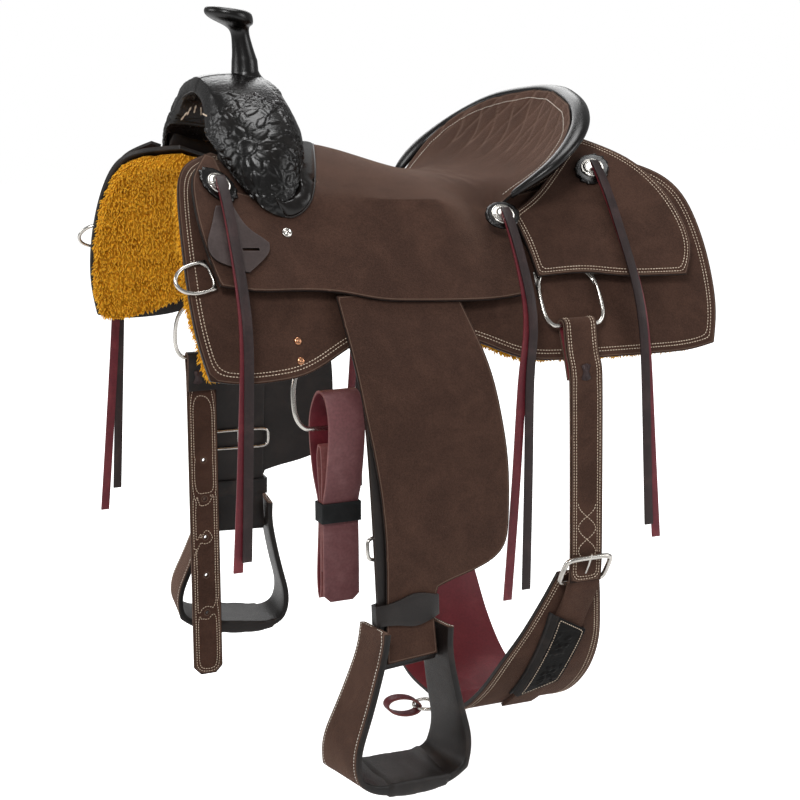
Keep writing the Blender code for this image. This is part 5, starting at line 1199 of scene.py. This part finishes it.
def frameOf(node):  # middle, outward normal, forward and down of a flat node
    places = points(dressed[node].data)
    middle = places.mean(axis=0)
    spread = np.linalg.svd(places - middle, full_matrices=False)[2]
    outward = spread[2] * (1 if spread[2][1] * (-1 if node.endswith("off") else 1) > 0 else -1)
    forward = unit(np.array([1.0, 0, 0]) - outward * outward[0])
    return middle, outward, forward, places


def conchoShape():
    radius = concho["radius"]
    profile = [(1.0, -0.0008), (1.0, 0.0010), (0.96, 0.0017), (0.90, 0.0016), (0.86, 0.0011), (0.80, 0.0016),
               (0.66, 0.0026), (0.60, 0.0026), (0.56, 0.0023), (0.40, 0.0029), (0.0, 0.0031)]
    mesh = turned("conchoShape", [(r * radius, h) for r, h in profile], 60)
    places = points(mesh)
    out = np.hypot(places[:, 0], places[:, 1]) / radius
    angle = np.arctan2(places[:, 1], places[:, 0])
    flute = np.exp(-((out - 0.73) / 0.09) ** 2) * np.cos(angle * concho["flutes"]) * 0.00035
    setPoints(mesh, places + np.column_stack([np.zeros(len(out)), np.zeros(len(out)), flute]))
    return helper("conchoShape", mesh)


def spotMesh(name, spots):
    mesh = bpy.data.meshes.new(name)
    mesh.from_pydata([tuple(place) for place, up, along in spots], [], [])
    vectorAttribute(mesh, "lift", [up for place, up, along in spots])
    vectorAttribute(mesh, "along", [along for place, up, along in spots])
    return mesh


def studs(name, spots, shape, finish, node, size=1.0):
    piece = addObject(name, spotMesh(name, spots))
    runTree(piece, spotTree, {"Object": shape, "Size": size, "Finish": finishes[finish]})
    piece.data.shade_smooth()
    return extra(piece, node)


silver = conchoShape()
for hand in hands:
    spots = []
    for station in ("front", "mid", "rear"):
        node = "concho_%s_%s" % (station, hand)
        middle, outward, forward, places = frameOf(node)
        rise = (places - middle) @ outward
        out = np.linalg.norm(places - middle - rise[:, None] * outward, axis=1)
        rim = out > 0.8 * out.max()
        top = np.percentile(rise[rim], 85)
        sunk = places - np.where((rise > top) & ~rim, rise - top, 0.0)[:, None] * outward
        flat = places - middle - rise[:, None] * outward
        angle = np.arctan2(flat @ np.cross(outward, forward), flat @ forward)
        lobes = np.abs(np.sin(angle * concho["lobes"] / 2)) - 0.6
        sunk = sunk + flat * (lobes * concho["lobe"] * np.clip(out / out.max() * 3 - 2, 0, 1))[:, None]
        setPoints(dressed[node].data, sunk)
        spots.append((middle + outward * (top + 0.0002), outward, forward))
    studs("conchos_" + hand, spots, silver, "nickel", "concho_front_" + hand)
print("conchos made")

# Small fittings: rivets, the screw by the fork, lacing in the gullet
fittings = {"rivet": 0.0046, "rivets": ((298, 341), (301, 361)), "screw": (287, 233), "screwSize": 0.0062,
            "lacing": ((184, 116), (189, 111), (195, 109), (201, 111), (205, 115)), "laceHalf": 0.0035}
rivetProfile = [(1.0, -0.1), (1.0, 0.12), (0.88, 0.26), (0.5, 0.36), (0.32, 0.36), (0.26, 0.30), (0.0, 0.32)]
screwProfile = [(1.0, -0.1), (1.0, 0.20), (0.90, 0.32), (0.72, 0.30), (0.62, 0.16), (0.45, 0.16),
                (0.40, 0.28), (0.0, 0.34)]
rivetShape = helper("rivetShape", turned("rivetShape", rivetProfile, 20))
screwShape = helper("screwShape", turned("screwShape", screwProfile, 24))


def spotsSeen(node, pixels):
    found = [seenOn(node, *pixel) for pixel in pixels]
    return [(place, up, (1.0, 0.0, 0.0)) for place, up in (spot for spot in found if spot)]


def bothHands(spots, hand):
    return [(np.array(p) * (1, hand, 1), np.array(u) * (1, hand, 1), along) for p, u, along in spots]


rivetSpots = spotsSeen("skirt_near", fittings["rivets"])
screwSpots = spotsSeen("seat_leather", [fittings["screw"]])
for name, hand in hands.items():
    studs("copperRivets_" + name, bothHands(rivetSpots, hand), rivetShape, "copper", "skirt_" + name,
          size=fittings["rivet"])
    studs("forkScrew_" + name, bothHands(screwSpots, hand), screwShape, "nickel", "skirt_" + name,
          size=fittings["screwSize"])
laces = []
for k, pixel in enumerate(fittings["lacing"]):
    found = seenOn("fork_cover", *pixel)
    if found:
        place, up = found
        way = unit(rotatedAbout(np.cross(up, (1.0, 0, 0)), up, math.radians(-24 + 12 * k)))
        reach = way * fittings["laceHalf"]
        laces.append((np.array([place - reach, place + reach]), np.array([up, up])))
if laces:
    stitchPiece("gulletLacing", laces, nodeBody["fork_cover"], "thread", step=0.0069, length=0.0085,
                width=0.0024)
print("fittings made")

# The swell's rear lower edge, lying on the seat, with a welt round it. Known fault: the upper pixels lie
# on the outline, so their rays reach the far side, and the edge and the welt run across the saddle.
edge = {"pixels": ((309, 128), (313, 146), (315, 165), (315, 184), (312, 200), (305, 211), (296, 217),
                   (288, 219), (276, 213), (262, 201), (250, 187), (241, 172)),
        "middle": (272, 168), "inward": 0.34, "bulge": 0.0035, "welt": 0.0013, "rows": 6, "flap": 9}


def anySeen(across, down):
    spot, normal = allSurfaces.ray_cast(*pixelRay(across, down))[:2]
    return None if spot is None else (np.array(spot), np.array(normal))


def refined(pixels, count):
    pixels = np.array(pixels, float)
    run = np.concatenate([[0], np.cumsum(np.linalg.norm(np.diff(pixels, axis=0), axis=1))])
    places = np.linspace(0, run[-1], count)
    return np.column_stack([np.interp(places, run, pixels[:, k]) for k in (0, 1)])


def edgeCurves(pixels, count):
    outline = refined(pixels, count)
    for _ in range(2):
        outline[1:-1] = outline[1:-1] / 2 + (outline[:-2] + outline[2:]) / 4
    found = [seenOn("seat_leather", *pixel) or anySeen(*pixel) for pixel in outline]
    good = [k for k in range(count) if found[k]]
    filled = [np.column_stack([np.interp(range(count), good, [found[k][part][axis] for k in good])
                               for axis in range(3)]) for part in (0, 1)]
    return outline, filled[0], filled[1]


def swellFlap(hand):
    outline, low, lowUp = edgeCurves(edge["pixels"][:edge["flap"]], 36)
    middle = np.array(edge["middle"], float)
    inner = [seenOn("fork_cover", *(pixel + (middle - pixel) * edge["inward"])) for pixel in outline]
    high = np.array([spot[0] for spot in inner])
    highUp = np.array([spot[1] for spot in inner])
    low = low + lowUp * 0.0012
    work = bmesh.new()
    rings = []
    for k in range(edge["rows"] + 1):
        share = k / edge["rows"]
        row = high * (1 - share) + low * share
        lift = (unit(highUp.mean(axis=0) + lowUp.mean(axis=0)) * edge["bulge"]
                * math.sin(math.pi * share) ** 0.8)
        rings.append([work.verts.new((p + lift) * (1, hand, 1)) for p in row + highUp * 0.0006 * (1 - share)])
    for a, b in zip(rings[:-1], rings[1:]):
        for k in range(len(a) - 1):
            work.faces.new((a[k], a[k + 1], b[k + 1], b[k]))
    bmesh.ops.recalc_face_normals(work, faces=work.faces)
    if sum(f.normal.y for f in work.faces) * hand < 0:
        bmesh.ops.reverse_faces(work, faces=work.faces)
    mesh = bpy.data.meshes.new("swellEdge")
    work.to_mesh(mesh)
    work.free()
    mesh.materials.append(finishes["tooled"])
    name = "swellEdge_" + ("near" if hand > 0 else "off")
    piece = addObject(name, mesh)
    thick = piece.modifiers.new("thick", "SOLIDIFY")
    thick.thickness, thick.offset = 0.0016, -1
    made = evaluatedMesh(piece)
    piece.modifiers.clear()
    piece.data = made
    made.shade_smooth()
    return extra(piece, "fork_cover")


def cordTree():  # a round cord along a line
    tree, given, out = nodeTree("cord", [("Radius", "Float", 0.001), ("Finish", "Material", None)])
    curve = put(tree, "GeometryNodeMeshToCurve", {"Mesh": given["Geometry"]})
    ring = put(tree, "GeometryNodeCurvePrimitiveCircle", {"Resolution": 8, "Radius": given["Radius"]})
    tube = put(tree, "GeometryNodeCurveToMesh", {"Curve": curve.outputs[0], "Profile Curve": ring.outputs[0],
                                                 "Fill Caps": True})
    return finishTree(tree, out, tube.outputs[0], given["Finish"])


roundCord = cordTree()


def cord(name, lines, radius, finish, node):
    piece = addObject(name, lineMesh(name, [(line, np.ones_like(line)) for line in lines]))
    runTree(piece, roundCord, {"Radius": radius, "Finish": finishes[finish]})
    piece.data.shade_smooth()
    return extra(piece, node)


low, lowUp = edgeCurves(edge["pixels"], 60)[1:]
for name, hand in hands.items():
    swellFlap(hand)
    line = (low + lowUp * 0.0012) * (1, hand, 1)
    cord("swellWelt_" + name, [smoothLine(line, 3)], edge["welt"], "smoothDark", "fork_cover")
print("swell edged")

# Buckle tongues, thong ties and the crossing rows on the rear billets
buckles = {"tongue": 0.0016, "thong": (0.0075, 0.021, 0.0016), "ties": {"rear_billet": (586, 372),
                                                                        "off_billet": (198, 377)}}
for name in hands:
    for base in ("flank_buckle_", "leather_buckle_"):
        places = points(dressed[base + name].data)
        high = places[places[:, 2] > np.percentile(places[:, 2], 88)].mean(axis=0)
        low = places[places[:, 2] < np.percentile(places[:, 2], 12)].mean(axis=0)
        out = np.array([0.0, hands[name], 0.0]) * 0.0030
        line = np.array([low - out * 0.3, low * 0.8 + high * 0.2 + out, low * 0.3 + high * 0.7 + out * 1.4,
                         high + out + (high - low) * 0.10])
        cord("tongue_" + base + name, [line], buckles["tongue"], "nickel", base + name)


def thongShape():
    work = bmesh.new()
    bmesh.ops.create_cube(work, size=1.0)
    bmesh.ops.scale(work, vec=buckles["thong"], verts=work.verts)
    bmesh.ops.bevel(work, geom=work.edges, offset=0.0007, segments=2, affect="EDGES")
    mesh = bpy.data.meshes.new("thongShape")
    work.to_mesh(mesh)
    work.free()
    return helper("thongShape", mesh)


thong = thongShape()
for base, pixel in buckles["ties"].items():
    for name, hand in hands.items():
        node = base + "_" + name if base == "rear_billet" else base
        if base == "off_billet" and name == "near":
            continue
        found = seenOn("rear_billet_near" if base == "rear_billet" else base, *pixel)
        if found:
            place, up = found
            turn = (1, hand, 1) if base == "rear_billet" else (1, 1, 1)
            spots = [(place * turn + np.array(up) * turn * 0.0004, up * turn, (0.94, 0.0, 0.34)),
                     (place * turn + np.array(up) * turn * 0.0010, up * turn, (0.94, 0.0, -0.34))]
            studs("thong_" + base + "_" + name, spots, thong, "stringDark", node)

crossing = {"middle": ((587, 505), (587, 556)), "swing": 8.5, "period": 46.0, "steps": 40}
lines = []
for phase in (0.0, math.pi):
    (x0, y0), (x1, y1) = crossing["middle"]
    steps, found = crossing["steps"], []
    for k in range(steps + 1):
        turn = phase + (y1 - y0) * k / steps * 2 * math.pi / crossing["period"]
        across = x0 + (x1 - x0) * k / steps + crossing["swing"] * math.cos(turn)
        found.append(seenOn("rear_billet_near", across, y0 + (y1 - y0) * k / steps))
    found = [spot for spot in found if spot]
    lines.append((np.array([p for p, n in found]), np.array([n for p, n in found])))
stitchPiece("stitches_billet_near", lines, nodeBody["rear_billet_near"])
stitchPiece("stitches_billet_off", [mirrored(*line) for line in lines], nodeBody["rear_billet_off"])
print("buckles and billets finished")

# The pocket on the cinch, carved
pocket = {"stems": ((-0.010, 30.0), (0.010, -30.0), (0.0, 12.0)), "length": 0.042, "leaf": 0.015,
          "every": 0.010, "reach": 0.052}
evenOut(dressed["flank_pocket_near"].data, hidden=5)
middle, outward, forward = frameOf("flank_pocket_near")[:3]
design = []
for k, (across, bend) in enumerate(pocket["stems"]):
    start = middle + forward * across
    for way in (1, -1):
        heading = unit(np.cross(outward, forward)) * way
        design += vine(surfaceOf("flank_pocket_near"), start, heading, pocket["length"],
                       lambda share, b=bend * way: b * 2 * share, pocket["leaf"], pocket["every"], seed=k)
carve("flank_pocket_near", design, lambda p, n: np.linalg.norm(p - middle, axis=1) < pocket["reach"])
print("pocket carved")

# Stirrup treads wrapped in soft dark leather
wrap = {"reach": 0.045, "stand": 0.0018, "seams": 0.030, "ribs": 0.0006, "floor": 0.02, "height": 0.045}


def treadWrap(hand):
    node = "stirrup_" + hand
    source = dressed[node].data
    work = bmesh.new()
    work.from_mesh(source)
    low = min(v.co.z for v in work.verts)
    lowest = [v.co.x for v in work.verts if v.co.z < low + wrap["floor"]]
    middle = sum(lowest) / len(lowest)
    far = [f for f in work.faces if abs(f.calc_center_median().x - middle) > wrap["reach"]
           or f.calc_center_median().z > low + wrap["height"]]
    bmesh.ops.delete(work, geom=far, context="FACES")
    work.normal_update()
    edge = {v for e in work.edges if e.is_boundary for v in e.verts}
    for vert in work.verts:
        lift = -0.0004 if vert in edge else wrap["stand"] - wrap["ribs"] * abs(math.cos(
            (vert.co.x - middle) * math.pi / wrap["seams"])) ** 12
        vert.co += vert.normal * lift
    mesh = bpy.data.meshes.new("treadWrap_" + hand)
    work.to_mesh(mesh)
    work.free()
    mesh.materials.clear()
    mesh.materials.append(finishes["smoothDark"])
    for face in mesh.polygons:
        face.material_index = 0
    mesh.shade_smooth()
    return extra(addObject("treadWrap_" + hand, mesh), node)


for hand in hands:
    treadWrap(hand)
print("treads wrapped")

for node, piece in dressed.items():
    handOver(piece, node)
print("pieces dressed:", len(dressed))
